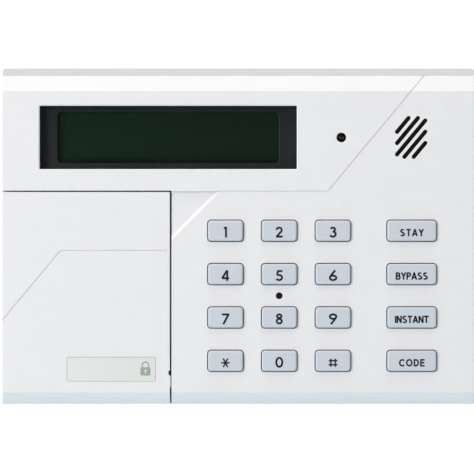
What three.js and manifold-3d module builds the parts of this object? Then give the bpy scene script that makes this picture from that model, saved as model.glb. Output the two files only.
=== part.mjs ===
// Wall-mounted alarm keypad panel, in millimetres.
// X runs to the user's right, Z up, and the user stands on the -Y side. The wall is the plane y = 0,
// and the origin is the middle of the flat back that rests on it.
import * as THREE from "three";
import { mergeVertices } from "three/addons/utils/BufferGeometryUtils.js";
import Module from "manifold-3d";

const wasm = await Module();
wasm.setup();

// ---------------------------------------------------------------- driving dimensions

const CASE = {
  depth: 30, // wall to front face
  height: 141,
  frontWidth: 196.8,
  backWidth: 199.4, // the sides draft outwards towards the wall
  backCorner: 2, // corner radius of the outline at the wall
  shell: 2.2, // moulded wall thickness
  chamferTop: { y: -25, z: 66.5 }, // upper edge of the sloping band above the front face
  chamferFoot: 60, // height where that band meets the front face
  blendStart: -65.6, // height where the front face turns under
  blendEnd: -25.8, // depth where that turn meets the underside
  blendBulge: { y: -28.4, z: -68.5 },
};
const FRONT = -CASE.depth;
const INNER_FRONT = FRONT + CASE.shell;
const TOP = CASE.height / 2;
const BOTTOM = -CASE.height / 2;

const PARTING = { coverEdge: -8.3, trayEdge: -8, tongueEdge: -10.5, tongueInset: 2.5, tongueWall: 1.5 };

const STYLE_SLOPE = 1.2; // rise over run of every slanting line on the front
const GROOVE = { width: 0.5, depth: 0.4 };
const DIVIDER_Z = 18.2; // line under the display, level with the gap over the door
const DIVIDER_BEND_X = 37.3;

const WINDOW = { x: -29.25, z: 40.7, width: 107.2, height: 26.4 };
const LED = { x: 42.9, z: 40.7, frontRadius: 2.1, backRadius: 1.95 };
const GRILLE = { x: 72, z: 40.7, slots: 5, pitch: 3, width: 1.75, halfWidth: 5.9, halfHeight: 8.1 };

const KEYS = {
  columns: [-5.4, 17, 39.4],
  functionColumn: 72.2,
  rows: [1.8, -16.27, -34.33, -52.4],
  digitHole: { width: 15.3, height: 9.3 },
  functionHole: { width: 21.2, height: 9.3 },
  holeCorner: 1.7,
  clearance: 0.4, // between a cap and its hole, all round
  proud: 1.4, // how far a cap stands out of the front face
  travel: 1.2,
  flangeOverlap: 0.8,
  flangeThickness: 1,
  plungerRadius: 3,
};
const DIGIT_NAMES = [
  ["key_1", "key_2", "key_3"],
  ["key_4", "key_5", "key_6"],
  ["key_7", "key_8", "key_9"],
  ["key_star", "key_0", "key_hash"],
];
const FUNCTION_NAMES = ["key_stay", "key_bypass", "key_instant", "key_code"];

const MIC = { x: KEYS.columns[1], z: (KEYS.rows[1] + KEYS.rows[2]) / 2, portRadius: 1.42 };

const DOOR = {
  right: -28.6,
  top: 17.95,
  back: -20,
  wall: 2,
  flangeInside: -96.3, // inner face of the wall that wraps round the left side
  styleBend: { x: -74.1, z: -6.5 },
};
const SNAP_NIB = { x: -60, width: 12, front: -26, back: -24, height: 0.25 };
const HINGE = { y: -25, z: -61, cheek: 10.9, pin: 1.5, bore: 1.7, boss: 2.5, bossHeight: 0.45 };
const HINGE_PAD = { front: -29.4, halfHeight: 2.3 }; // the right boss reaches almost to the front face
const SPRING_SLOT = { front: -29.1, back: -24, low: -58.5, high: -56.3 }; // lets the right pin bend
const SLOT_NICK = { reach: 0.55, low: -58.3, high: -56.5 }; // where the slot opens at the door's face
const BAY = {
  right: -27.9,
  top: 18.5,
  floor: -19.5,
  wall: 2,
  trough: 11.3, // radius of the hollow the door's lower edge swings into
};
const LUG = { left: -95.5, right: -93, radius: 2.8, neckLength: 12.5, neckTilt: Math.PI / 3 };
const FINGER_SCOOP = { leg: 18.6, depth: 1.2 };
const PLATE = { x: -52.95, z: -55.9, width: 36.7, height: 9.9, thickness: 0.4, pocket: 0.5, gap: 0.15 };
const CARD = { x: -62, z: -16, side: 56, corner: 1.5, gap: 0.05, thickness: 0.25 };

const BOARD = { front: -21.8, thickness: 1.6, boss: 3, bore: 1.6 };
const BOARD_OUTLINE = [
  [-24.5, -64],
  [92, -64],
  [92, 60],
  [34, 60],
  [34, 20.5],
  [-24.5, 20.5],
];
const BOARD_SCREWS = [
  [-20.5, -60],
  [88, -60],
  [88, 56],
  [38, 56],
  [-20.5, 16],
  [54.5, -25.3],
];

const LCD = {
  lens: { width: 110, height: 29, front: -27.7, thickness: 1.5 },
  frame: { width: 110, height: 30.5, front: -25.8, thickness: 0.8, back: -21.5 },
  view: { width: 92.3, height: 21.2, corner: 1.6 },
  glass: { width: 104, height: 26.5, front: -24.8, back: -22.2 },
  board: { width: 122, height: 37, front: -21.4, thickness: 1.6 },
  screw: { x: 58.5, z: 15, boss: 2.4, bore: 1.4 },
};

const MAT = { left: -16.5, right: 84.5, bottom: -60, top: 10, thickness: 1.2, corner: 2 };
const COLLAR = { outer: 4.6, rim: 4, inner: 3.5, top: -25.2 };

const TRAY = { floor: 2, ribPlaces: [-70, -35, 35, 70], ribThickness: 1.5, ribFront: -6, ribMargin: 3 };
const CATCH = { places: [-60, 60], width: 7, slotWidth: 8, back: -6, low: 2.4, high: 4 };
const WALL_SCREWS = {
  x: 50,
  keyholeZ: 40,
  headRadius: 4,
  neckRadius: 2.1,
  rise: 6, // from the keyhole's wide end to its narrow one
  holeZ: -45,
  holeRadius: 2.3,
};
const CABLE_OPENING = { x: 0, z: -24, width: 34, height: 24, corner: 3 };
const REST_GAP = 0.1; // air between a piece and the one it rests on
const SOUNDER = { front: -26.9, radius: 11.6, mouthFloor: -26.2, mouthRadius: 8.5 };
const LED_BODY = { tip: -28.2, radius: 1.5, rimRadius: 1.9, rimDepth: 0.8 };
const LED_STAND = { height: 2, radius: 2.2 };
const MIC_BODY = { front: -26.4, radius: 3 };
const HEADER = { z: -50, halfWidth: 8, halfHeight: 3, depth: 4.9 };
const PLUG = { halfWidth: 7, halfHeight: 2.5, front: 5.2, back: 10 }; // depths: behind the board
const CHIP = { left: 20, right: 44, low: -18, high: -10, depth: 3.3 };
const CAPACITOR = { x: 66, z: -10, radius: 4, length: 8.9 };
const CABLE = { start: 26, end: 42, low: 31, high: 51, thickness: 0.6, back: -16.4 };
const WIRE = { pitch: 3, radius: 0.75 };
const SCREW = { headRadius: 2.6, headHeight: 1.7, shankRadius: 1.25, shankLength: 6.5, slot: 0.7 };

// ---------------------------------------------------------------- materials

const finish = (color, roughness, metalness = 0, opacity = 1) =>
  new THREE.MeshStandardMaterial({ color, roughness, metalness, opacity, transparent: opacity < 1 });

const MATERIALS = {
  casing: finish(0xededee, 0.55),
  tray: finish(0xe2e2e6, 0.6),
  keycap: finish(0xcdd3da, 0.5),
  rubber: finish(0x8b8f94, 0.85),
  plate: finish(0xd9ddd6, 0.35),
  card: finish(0xf4f3ee, 0.8),
  clear: finish(0xf8fbfb, 0.05, 0, 0.35),
  frame: finish(0x23262a, 0.45, 0.3),
  glass: finish(0x17281c, 0.12),
  circuit: finish(0x2f6b3c, 0.5),
  black: finish(0x141414, 0.5),
  led: finish(0x4a0f10, 0.15),
  steel: finish(0xb9bcc0, 0.35, 0.9),
  wireRed: finish(0xb8241f, 0.5),
  wireBlack: finish(0x1b1b1c, 0.5),
  wireGreen: finish(0x2d7d3a, 0.5),
  wireYellow: finish(0xe0bd2c, 0.5),
};

// ---------------------------------------------------------------- solids

// A closed three.js geometry as a manifold-3d solid.
function solid(geometry) {
  const bare = geometry.index ? geometry.toNonIndexed() : geometry.clone();
  bare.deleteAttribute("normal");
  bare.deleteAttribute("uv");
  const merged = mergeVertices(bare, 1e-4);
  return new wasm.Manifold(
    new wasm.Mesh({
      numProp: 3,
      vertProperties: merged.attributes.position.array,
      triVerts: new Uint32Array(merged.index.array),
    }),
  );
}

// A manifold-3d solid back as a three.js geometry with flat normals.
function geometryOf(manifold) {
  const { vertProperties, triVerts } = manifold.getMesh();
  const shared = new THREE.BufferGeometry();
  shared.setAttribute("position", new THREE.BufferAttribute(vertProperties, 3));
  shared.setIndex(new THREE.BufferAttribute(triVerts, 1));
  const flat = shared.toNonIndexed();
  flat.computeVertexNormals();
  return flat;
}

const join = (...parts) => parts.reduce((whole, part) => whole.add(part));
const cut = (whole, ...tools) => tools.reduce((rest, tool) => rest.subtract(tool), whole);

function box(x0, x1, y0, y1, z0, z1) {
  const geometry = new THREE.BoxGeometry(x1 - x0, y1 - y0, z1 - z0);
  return solid(geometry.translate((x0 + x1) / 2, (y0 + y1) / 2, (z0 + z1) / 2));
}

const SMOOTH = 5; // straight pieces in each curve of a shape

// An outline drawn in (x, z), made solid between two depths.
function extrudeY(shape, y0, y1, curveSegments = SMOOTH) {
  const settings = { depth: y1 - y0, bevelEnabled: false, curveSegments };
  return solid(new THREE.ExtrudeGeometry(shape, settings).rotateX(Math.PI / 2).translate(0, y1, 0));
}

// An outline drawn in (u, v), swept along w from `start` for `length`; u, v and w are right-handed.
function extrudeAlong(shape, length, start, u, v, w, curveSegments = SMOOTH) {
  const geometry = new THREE.ExtrudeGeometry(shape, { depth: length, bevelEnabled: false, curveSegments });
  return solid(geometry.applyMatrix4(new THREE.Matrix4().makeBasis(u, v, w).setPosition(start)));
}

const AXIS_X = new THREE.Vector3(1, 0, 0);
const AXIS_Y = new THREE.Vector3(0, 1, 0);
const AXIS_Z = new THREE.Vector3(0, 0, 1);

// An outline drawn in (y, z), made solid from x0 to x1.
const extrudeX = (shape, x0, x1) =>
  extrudeAlong(shape, x1 - x0, new THREE.Vector3(x0, 0, 0), AXIS_Y, AXIS_Z, AXIS_X);

// A round bar along Y; the second radius is the one nearer the wall.
function rodY(x, z, y0, y1, frontRadius, backRadius = frontRadius, sides = 24) {
  const geometry = new THREE.CylinderGeometry(backRadius, frontRadius, y1 - y0, sides);
  return solid(geometry.translate(x, (y0 + y1) / 2, z));
}

// A round bar along the door's hinge line.
function rodOnHinge(x0, x1, radius, sides = 24) {
  const geometry = new THREE.CylinderGeometry(radius, radius, x1 - x0, sides);
  return solid(geometry.rotateZ(-Math.PI / 2).translate((x0 + x1) / 2, HINGE.y, HINGE.z));
}

// A rectangle with rounded corners, centred on (x, z).
function roundedRectangle(x, z, width, height, radius) {
  const [left, right] = [x - width / 2, x + width / 2];
  const [low, high] = [z - height / 2, z + height / 2];
  const shape = new THREE.Shape();
  shape.moveTo(left + radius, low);
  shape.lineTo(right - radius, low);
  shape.absarc(right - radius, low + radius, radius, -Math.PI / 2, 0);
  shape.absarc(right - radius, high - radius, radius, 0, Math.PI / 2);
  shape.absarc(left + radius, high - radius, radius, Math.PI / 2, Math.PI);
  shape.absarc(left + radius, low + radius, radius, Math.PI, Math.PI * 1.5);
  return shape;
}

const polygon = (points) => new THREE.Shape(points.map(([a, b]) => new THREE.Vector2(a, b)));

// ---------------------------------------------------------------- the case's outer form

const OVERRUN = 5; // how far cutting shapes run past the surface they cut

// The whole closed case, shrunk inwards by `inset`.
function caseForm(inset, back = 0) {
  const slope = (CASE.backWidth - CASE.frontWidth) / 2 / CASE.depth;
  const half = (y) => CASE.backWidth / 2 + slope * y - inset;

  const side = new THREE.Shape();
  side.moveTo(back, TOP - inset);
  side.lineTo(CASE.chamferTop.y + inset * 0.4, CASE.chamferTop.z - inset);
  side.lineTo(FRONT + inset, CASE.chamferFoot - inset * 0.4);
  side.lineTo(FRONT + inset, CASE.blendStart + inset * 0.3);
  side.quadraticCurveTo(
    CASE.blendBulge.y + inset * 0.7,
    CASE.blendBulge.z + inset * 0.7,
    CASE.blendEnd + inset * 0.3,
    BOTTOM + inset,
  );
  side.lineTo(back, BOTTOM + inset);

  const [near, far] = [FRONT - OVERRUN, OVERRUN];
  const plan = polygon([
    [-half(far), far],
    [-half(near), near],
    [half(near), near],
    [half(far), far],
  ]);
  const [width, height] = [CASE.backWidth - 2 * inset, CASE.height - 2 * inset];
  const outline = roundedRectangle(0, 0, width, height, CASE.backCorner);
  const across = extrudeX(side, -CASE.backWidth, CASE.backWidth);
  const floor = new THREE.Vector3(0, 0, -CASE.height);
  const upright = extrudeAlong(plan, 2 * CASE.height, floor, AXIS_X, AXIS_Y, AXIS_Z);
  return across.intersect(upright).intersect(extrudeY(outline, FRONT - OVERRUN, OVERRUN));
}

const WHOLE_CASE = caseForm(0);

// Everything between two depths.
const slab = (y0, y1) => box(-CASE.backWidth, CASE.backWidth, y0, y1, -CASE.height, CASE.height);

// A shallow channel of the style lines' width, from (x0, z0) to (x1, z1), cut to one depth in the skin.
function groove(x0, z0, x1, z1) {
  const along = new THREE.Vector2(x1 - x0, z1 - z0).normalize();
  const [sideX, sideZ] = [(-along.y * GROOVE.width) / 2, (along.x * GROOVE.width) / 2];
  const strip = polygon([
    [x0 - sideX, z0 - sideZ],
    [x1 - sideX, z1 - sideZ],
    [x1 + sideX, z1 + sideZ],
    [x0 + sideX, z0 + sideZ],
  ]);
  return extrudeY(strip, FRONT - 1, CASE.chamferTop.y).subtract(caseForm(GROOVE.depth));
}

// ---------------------------------------------------------------- front cover

function keyPlaces() {
  const places = [];
  KEYS.rows.forEach((z, row) => {
    KEYS.columns.forEach((x, column) => {
      places.push({ name: DIGIT_NAMES[row][column], x, z, hole: KEYS.digitHole });
    });
    places.push({ name: FUNCTION_NAMES[row], x: KEYS.functionColumn, z, hole: KEYS.functionHole });
  });
  return places;
}

function keyHole({ x, z, hole }) {
  const outline = roundedRectangle(x, z, hole.width, hole.height, KEYS.holeCorner);
  return extrudeY(outline, FRONT - 1, INNER_FRONT + 1, 3);
}

// One slanting slot of the sounder's grille. Its ends stop on an upright rectangle.
function grilleSlot(index) {
  const along = new THREE.Vector2(1, STYLE_SLOPE).normalize();
  const offset = (index - (GRILLE.slots - 1) / 2) * GRILLE.pitch;
  const [x, z] = [along.y * offset, -along.x * offset];
  const from = Math.max((-GRILLE.halfWidth - x) / along.x, (-GRILLE.halfHeight - z) / along.y);
  const to = Math.min((GRILLE.halfWidth - x) / along.x, (GRILLE.halfHeight - z) / along.y);
  const point = (t) => [GRILLE.x + x + along.x * t, GRILLE.z + z + along.y * t];
  const angle = Math.atan2(along.y, along.x);
  const radius = GRILLE.width / 2;
  const slot = new THREE.Shape();
  slot.absarc(...point(to), radius, angle - Math.PI / 2, angle + Math.PI / 2);
  slot.absarc(...point(from), radius, angle + Math.PI / 2, angle + Math.PI * 1.5);
  return extrudeY(slot, FRONT - 1, INNER_FRONT + 1);
}

// The three-cornered hollow beside the door's top corner, where a fingertip reaches the door's edge.
function fingerScoop() {
  const [left, top] = [BAY.right, DIVIDER_Z];
  const [right, low] = [left + FINGER_SCOOP.leg, top - FINGER_SCOOP.leg];
  const floor = FRONT + FINGER_SCOOP.depth;
  const hollow = extrudeY(
    polygon([
      [left - 1, top],
      [left - 1, low - 1],
      [right, top],
    ]),
    FRONT - 1,
    floor,
  );
  const downwards = new THREE.Vector3(-1, 0, -1).normalize();
  const outwards = new THREE.Vector3(1, 0, -1).normalize();
  const bevel = polygon([
    [-0.5, -FINGER_SCOOP.depth],
    [0, -FINGER_SCOOP.depth],
    [FINGER_SCOOP.depth + 0.5, 0.5],
    [-0.5, 0.5],
  ]);
  const start = new THREE.Vector3(right, FRONT, top).addScaledVector(downwards, -OVERRUN);
  const length = FINGER_SCOOP.leg * Math.SQRT2 + 2 * OVERRUN;
  const wedge = extrudeAlong(bevel, length, start, outwards, AXIS_Y.clone().negate(), downwards);
  return hollow.add(wedge.intersect(box(left - 1, right + 3, FRONT - 1, floor, low - 3, top)));
}

// The arm that carries the door's left pin. It leans up and back, clear of the door's lower edge.
function hingeLug() {
  const along = new THREE.Vector3(0, Math.cos(LUG.neckTilt), Math.sin(LUG.neckTilt));
  const across = new THREE.Vector3(0, -Math.sin(LUG.neckTilt), Math.cos(LUG.neckTilt));
  const strip = polygon([
    [0, -LUG.radius],
    [LUG.neckLength, -LUG.radius],
    [LUG.neckLength, LUG.radius],
    [0, LUG.radius],
  ]);
  const start = new THREE.Vector3(LUG.left, HINGE.y, HINGE.z);
  const neck = extrudeAlong(strip, LUG.right - LUG.left, start, along, across, AXIS_X);
  const eye = rodOnHinge(LUG.left, LUG.right, LUG.radius);
  return cut(join(neck, eye), rodOnHinge(LUG.left - 1, LUG.right + 1, HINGE.bore));
}

// The lined recess that the door closes over, open to the left and below.
function doorBay() {
  const far = -CASE.backWidth / 2 - OVERRUN;
  const low = BOTTOM - OVERRUN;
  const outer = join(
    box(far, BAY.right + BAY.wall, FRONT, BAY.floor + BAY.wall, low, BAY.top + BAY.wall),
    rodOnHinge(far, BAY.right + BAY.wall, BAY.trough + BAY.wall, 40),
  );
  const inner = join(
    box(far - 1, BAY.right, FRONT - 1, BAY.floor, low - 1, BAY.top),
    rodOnHinge(far - 1, BAY.right, BAY.trough, 40),
  );
  return { lining: outer.intersect(WHOLE_CASE), inner };
}

// A cutter for the slot that stands over the right pin, in the door's side and in the bay's.
const springSlot = (x0, x1) =>
  box(x0, x1, SPRING_SLOT.front, SPRING_SLOT.back, SPRING_SLOT.low, SPRING_SLOT.high);

// A cutter that opens the slot at the face, in the door's edge.
const slotNick = () =>
  box(
    DOOR.right - SLOT_NICK.reach,
    DOOR.right + 0.5,
    FRONT - 1,
    SPRING_SLOT.front + 0.5,
    SLOT_NICK.low,
    SLOT_NICK.high,
  );

function boss(x, z, y1, radius, bore) {
  const post = rodY(x, z, INNER_FRONT - 0.5, y1, radius, radius, 12);
  return cut(post, rodY(x, z, INNER_FRONT + 0.3, y1 + 1, bore, bore, 8));
}

function frontCover() {
  const shell = WHOLE_CASE.intersect(slab(FRONT - 1, PARTING.coverEdge)).subtract(caseForm(CASE.shell, 1));
  const { lining, inner } = doorBay();
  const bosses = [
    ...BOARD_SCREWS.map(([x, z]) => boss(x, z, BOARD.front, BOARD.boss, BOARD.bore)),
    ...lcdScrewPlaces().map(([x, z]) => boss(x, z, LCD.board.front, LCD.screw.boss, LCD.screw.bore)),
  ];
  const releaseSlots = CATCH.places.map((x) => {
    const half = CATCH.slotWidth / 2;
    return box(x - half, x + half, PARTING.coverEdge - 1.5, CATCH.back, BOTTOM - 1, BOTTOM + CATCH.high);
  });
  const climb = (CASE.chamferTop.z - DIVIDER_Z) / STYLE_SLOPE;
  const windowOpening = polygon([
    [WINDOW.x - WINDOW.width / 2, WINDOW.z - WINDOW.height / 2],
    [WINDOW.x + WINDOW.width / 2, WINDOW.z - WINDOW.height / 2],
    [WINDOW.x + WINDOW.width / 2, WINDOW.z + WINDOW.height / 2],
    [WINDOW.x - WINDOW.width / 2, WINDOW.z + WINDOW.height / 2],
  ]);
  return cut(
    join(cut(join(shell, lining), inner), hingeLug(), ...bosses),
    extrudeY(windowOpening, FRONT - 1, INNER_FRONT + 1),
    rodY(LED.x, LED.z, FRONT, INNER_FRONT, LED.frontRadius, LED.backRadius),
    rodY(MIC.x, MIC.z, FRONT - 1, INNER_FRONT + 1, MIC.portRadius, MIC.portRadius, 16),
    rodOnHinge(BAY.right - 0.5, BAY.right + BAY.wall + 0.5, HINGE.bore),
    springSlot(BAY.right - 0.5, BAY.right + BAY.wall + 0.5),
    groove(BAY.right + FINGER_SCOOP.leg - 1, DIVIDER_Z, DIVIDER_BEND_X, DIVIDER_Z),
    groove(DIVIDER_BEND_X, DIVIDER_Z, DIVIDER_BEND_X + climb, CASE.chamferTop.z),
    fingerScoop(),
    ...keyPlaces().map(keyHole),
    ...Array.from({ length: GRILLE.slots }, (_, index) => grilleSlot(index)),
    ...releaseSlots,
  );
}

// ---------------------------------------------------------------- rear tray

function keyholeSlot(x) {
  const { keyholeZ: z, headRadius, neckRadius, rise } = WALL_SCREWS;
  const [front, back] = [-TRAY.floor - 1, 1];
  return join(
    rodY(x, z, front, back, headRadius, headRadius, 20),
    rodY(x, z + rise, front, back, neckRadius, neckRadius, 16),
    box(x - neckRadius, x + neckRadius, front, back, z, z + rise),
  );
}

function lowerScrewHole(x) {
  const { holeZ, holeRadius } = WALL_SCREWS;
  return rodY(x, holeZ, -TRAY.floor - 1, 1, holeRadius, holeRadius, 16);
}

function rearTray() {
  const back = slab(PARTING.trayEdge, 1);
  const hollow = slab(FRONT, -TRAY.floor);
  const inside = caseForm(PARTING.tongueInset + PARTING.tongueWall);
  const rim = cut(WHOLE_CASE.intersect(back), inside.intersect(hollow));
  const band = slab(PARTING.tongueEdge, -TRAY.floor);
  const tongue = cut(caseForm(PARTING.tongueInset).intersect(band), inside);
  const ribs = TRAY.ribPlaces.map((x) => {
    const half = TRAY.ribThickness / 2;
    return box(x - half, x + half, TRAY.ribFront, -TRAY.floor, BOTTOM + TRAY.ribMargin, TOP - TRAY.ribMargin);
  });
  const catches = CATCH.places.map((x) => {
    const half = CATCH.width / 2;
    return box(x - half, x + half, PARTING.tongueEdge, CATCH.back, BOTTOM + CATCH.low, BOTTOM + CATCH.high);
  });
  const opening = roundedRectangle(
    CABLE_OPENING.x,
    CABLE_OPENING.z,
    CABLE_OPENING.width,
    CABLE_OPENING.height,
    CABLE_OPENING.corner,
  );
  return cut(
    join(rim, tongue, ...ribs, ...catches),
    extrudeY(opening, TRAY.ribFront - 1, 1),
    ...[-WALL_SCREWS.x, WALL_SCREWS.x].flatMap((x) => [keyholeSlot(x), lowerScrewHole(x)]),
  );
}

// ---------------------------------------------------------------- door

function doorPanel() {
  const [far, low] = [-CASE.backWidth, -CASE.height];
  const reach = join(
    box(far, DOOR.right, FRONT - 1, DOOR.back, low, DOOR.top),
    rodOnHinge(far, DOOR.right, HINGE.cheek, 40),
  );
  const inner = box(DOOR.flangeInside, DOOR.right - DOOR.wall, FRONT, 0, BOTTOM, DOOR.top - DOOR.wall);
  const hollow = caseForm(DOOR.wall, 1).intersect(inner);
  const { x, z } = DOOR.styleBend;
  const leftReach = (x + CASE.frontWidth / 2) * STYLE_SLOPE;
  const leftPin = rodOnHinge(DOOR.flangeInside - 0.5, LUG.right + 0.4, HINGE.pin, 16);
  const bossFace = DOOR.right + HINGE.bossHeight;
  const rightBoss = join(
    rodOnHinge(DOOR.right - 0.5, bossFace, HINGE.boss),
    box(
      DOOR.right - 0.5,
      bossFace,
      HINGE_PAD.front,
      HINGE.y,
      HINGE.z - HINGE_PAD.halfHeight,
      HINGE.z + HINGE_PAD.halfHeight,
    ),
  );
  const nib = box(
    SNAP_NIB.x - SNAP_NIB.width / 2,
    SNAP_NIB.x + SNAP_NIB.width / 2,
    SNAP_NIB.front,
    SNAP_NIB.back,
    DOOR.top - 0.5,
    DOOR.top + SNAP_NIB.height,
  );
  const rightPin = rodOnHinge(DOOR.right - 0.5, BAY.right + BAY.wall - 0.2, HINGE.pin, 16);
  const shell = cut(
    WHOLE_CASE.intersect(reach),
    hollow,
    box(DOOR.flangeInside, LUG.right + 0.6, DOOR.back - 2, 0, BOTTOM - 1, HINGE.z), // swings past the lug
    groove(x, z, DOOR.right - 1.2, z),
    groove(x, z, -CASE.frontWidth / 2, z - leftReach),
    nameplatePocket(),
    springSlot(DOOR.right - DOOR.wall - 0.5, DOOR.right + 0.5),
    slotNick(),
  );
  return join(shell, leftPin, rightBoss, rightPin, nib);
}

function nameplatePocket() {
  const { x, z, width, height, pocket, gap } = PLATE;
  const outline = roundedRectangle(x, z, width + 2 * gap, height + 2 * gap, 0.6);
  return extrudeY(outline, FRONT - 1, FRONT + pocket, 2);
}

function nameplate() {
  const { x, z, width, height, thickness, pocket } = PLATE;
  const back = FRONT + pocket - 0.05;
  return extrudeY(roundedRectangle(x, z, width, height, 0.4), back - thickness, back, 2);
}

function instructionCard() {
  const { x, z, side, corner, gap, thickness } = CARD;
  const shape = roundedRectangle(x, z, side, side, corner);
  return extrudeY(shape, BAY.floor - gap - thickness, BAY.floor - gap, 3);
}

// ---------------------------------------------------------------- keys

// A key cap about its own centre: the visible cap, the flange that keeps it in, and the plunger.
function keyCap({ width, height }) {
  const capWidth = width - 2 * KEYS.clearance;
  const capHeight = height - 2 * KEYS.clearance;
  const edge = { thickness: 0.5, size: 0.35 };
  const corner = KEYS.holeCorner - KEYS.clearance;
  const flangeFront = INNER_FRONT + 0.1;
  const flangeBack = flangeFront + KEYS.flangeThickness;
  const capFront = FRONT - KEYS.proud;

  const outline = roundedRectangle(0, 0, capWidth, capHeight, corner);
  const body = extrudeY(outline, capFront + edge.thickness, flangeBack, 3);
  const crown = new THREE.ExtrudeGeometry(
    roundedRectangle(0, 0, capWidth - 2 * edge.size, capHeight - 2 * edge.size, corner - edge.size),
    {
      depth: 1,
      bevelThickness: edge.thickness,
      bevelSize: edge.size,
      bevelSegments: 1,
      curveSegments: 3,
    },
  );
  crown.rotateX(Math.PI / 2).translate(0, capFront + edge.thickness + 1, 0);
  const flange = box(
    -width / 2 - KEYS.flangeOverlap,
    width / 2 + KEYS.flangeOverlap,
    flangeFront,
    flangeBack,
    -height / 2 - KEYS.flangeOverlap,
    height / 2 + KEYS.flangeOverlap,
  );
  const plungerEnd = BOARD.front - KEYS.travel - REST_GAP;
  const plunger = rodY(0, 0, flangeBack - 0.2, plungerEnd, KEYS.plungerRadius, KEYS.plungerRadius, 8);
  return join(body, solid(crown), flange, plunger);
}

function keypadMat() {
  const { left, right, bottom, top, thickness, corner } = MAT;
  const [width, height] = [right - left, top - bottom];
  const outline = roundedRectangle(left + width / 2, bottom + height / 2, width, height, corner);
  const sheet = extrudeY(outline, BOARD.front - thickness, BOARD.front, 3);
  const places = keyPlaces();
  const collars = places.map(({ x, z }) =>
    rodY(x, z, COLLAR.top, BOARD.front - thickness / 2, COLLAR.rim, COLLAR.outer, 10),
  );
  const bores = places.map(({ x, z }) =>
    rodY(x, z, COLLAR.top - 1, BOARD.front + 1, COLLAR.inner, COLLAR.inner, 8),
  );
  const [bossX, bossZ] = BOARD_SCREWS[5];
  return cut(
    join(sheet, ...collars),
    ...bores,
    rodY(bossX, bossZ, BOARD.front - 3, BOARD.front + 1, BOARD.boss + 0.6, BOARD.boss + 0.6, 12),
    rodY(MIC.x, MIC.z, BOARD.front - 3, BOARD.front + 1, 3.6, 3.6, 12),
  );
}

// ---------------------------------------------------------------- display

const flatAt = (width, height, corner) => roundedRectangle(WINDOW.x, WINDOW.z, width, height, corner);

function lcdScrewPlaces() {
  const { x, z } = LCD.screw;
  return [
    [WINDOW.x - x, WINDOW.z - z],
    [WINDOW.x + x, WINDOW.z - z],
    [WINDOW.x - x, WINDOW.z + z],
    [WINDOW.x + x, WINDOW.z + z],
  ];
}

function displayLens() {
  const { width, height, front, thickness } = LCD.lens;
  return extrudeY(flatAt(width, height, 0.8), front, front + thickness, 2);
}

function lcdFrame() {
  const { width, height, front, thickness, back } = LCD.frame;
  const can = extrudeY(flatAt(width, height, 1), front, back, 2);
  const hollow = flatAt(width - 2 * thickness, height - 2 * thickness, 0.5);
  const inside = extrudeY(hollow, front + thickness, back + 1, 2);
  const view = flatAt(LCD.view.width, LCD.view.height, LCD.view.corner);
  return cut(can, inside, extrudeY(view, front - 1, back));
}

function lcdGlass() {
  const { width, height, front, back } = LCD.glass;
  return extrudeY(flatAt(width, height, 0.5), front, back, 2);
}

function lcdBoard() {
  const { width, height, front, thickness } = LCD.board;
  const holes = lcdScrewPlaces().map(([x, z]) => rodY(x, z, front - 1, front + thickness + 1, 1.5, 1.5, 12));
  return cut(extrudeY(flatAt(width, height, 1.5), front, front + thickness, 2), ...holes);
}

// ---------------------------------------------------------------- electronics

const BOARD_BACK = BOARD.front + BOARD.thickness;
const LCD_BOARD_BACK = LCD.board.front + LCD.board.thickness;

function mainBoard() {
  const holes = BOARD_SCREWS.map(([x, z]) => rodY(x, z, BOARD.front - 1, BOARD_BACK + 1, 1.7, 1.7, 12));
  return cut(extrudeY(polygon(BOARD_OUTLINE), BOARD.front, BOARD_BACK), ...holes);
}

// A screw about the origin, pointing forwards, with its head's flat underside at y = 0.
function crossHeadScrew() {
  const { headRadius, headHeight, shankRadius, shankLength, slot } = SCREW;
  const head = rodY(0, 0, 0, headHeight, headRadius, headRadius * 0.8, 12);
  const shank = rodY(0, 0, -shankLength, 0.1, shankRadius, shankRadius, 6);
  const [half, arm] = [slot / 2, headRadius * 0.55];
  const cross = join(
    box(-arm, arm, headHeight * 0.45, headHeight + 1, -half, half),
    box(-half, half, headHeight * 0.45, headHeight + 1, -arm, arm),
  );
  return cut(join(head, shank), cross);
}

function soundDisc() {
  const { front, radius, mouthFloor, mouthRadius } = SOUNDER;
  const can = rodY(GRILLE.x, GRILLE.z, front, BOARD.front - REST_GAP, radius, radius, 32);
  return cut(can, rodY(GRILLE.x, GRILLE.z, front - 1, mouthFloor, mouthRadius, mouthRadius, 24));
}

function armedLed() {
  const { tip, radius, rimRadius, rimDepth } = LED_BODY;
  const seat = BOARD.front - LED_STAND.height - 2 * REST_GAP;
  const profile = new THREE.Path();
  profile.moveTo(0, seat);
  profile.lineTo(rimRadius, seat);
  profile.lineTo(rimRadius, seat - rimDepth);
  profile.lineTo(radius, seat - rimDepth);
  profile.lineTo(radius, tip + radius);
  profile.absarc(0, tip + radius, radius, 0, -Math.PI / 2, true);
  return solid(new THREE.LatheGeometry(profile.getPoints(3).reverse(), 12).translate(LED.x, 0, LED.z));
}

function ledSpacer() {
  const { height, radius } = LED_STAND;
  const back = BOARD.front - REST_GAP;
  return rodY(LED.x, LED.z, back - height, back, radius, radius, 16);
}

function microphone() {
  const { front, radius } = MIC_BODY;
  return rodY(MIC.x, MIC.z, front, BOARD.front - REST_GAP, radius, radius, 20);
}

const ON_BOARD = BOARD_BACK + REST_GAP; // where pieces on the back of the main board begin

function wireHeader() {
  const { z, halfWidth, halfHeight, depth } = HEADER;
  return box(-halfWidth, halfWidth, ON_BOARD, ON_BOARD + depth, z - halfHeight, z + halfHeight);
}

function wirePlug() {
  const { halfWidth, halfHeight, front, back } = PLUG;
  const [low, high] = [HEADER.z - halfHeight, HEADER.z + halfHeight];
  return box(-halfWidth, halfWidth, BOARD_BACK + front, BOARD_BACK + back, low, high);
}

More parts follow.
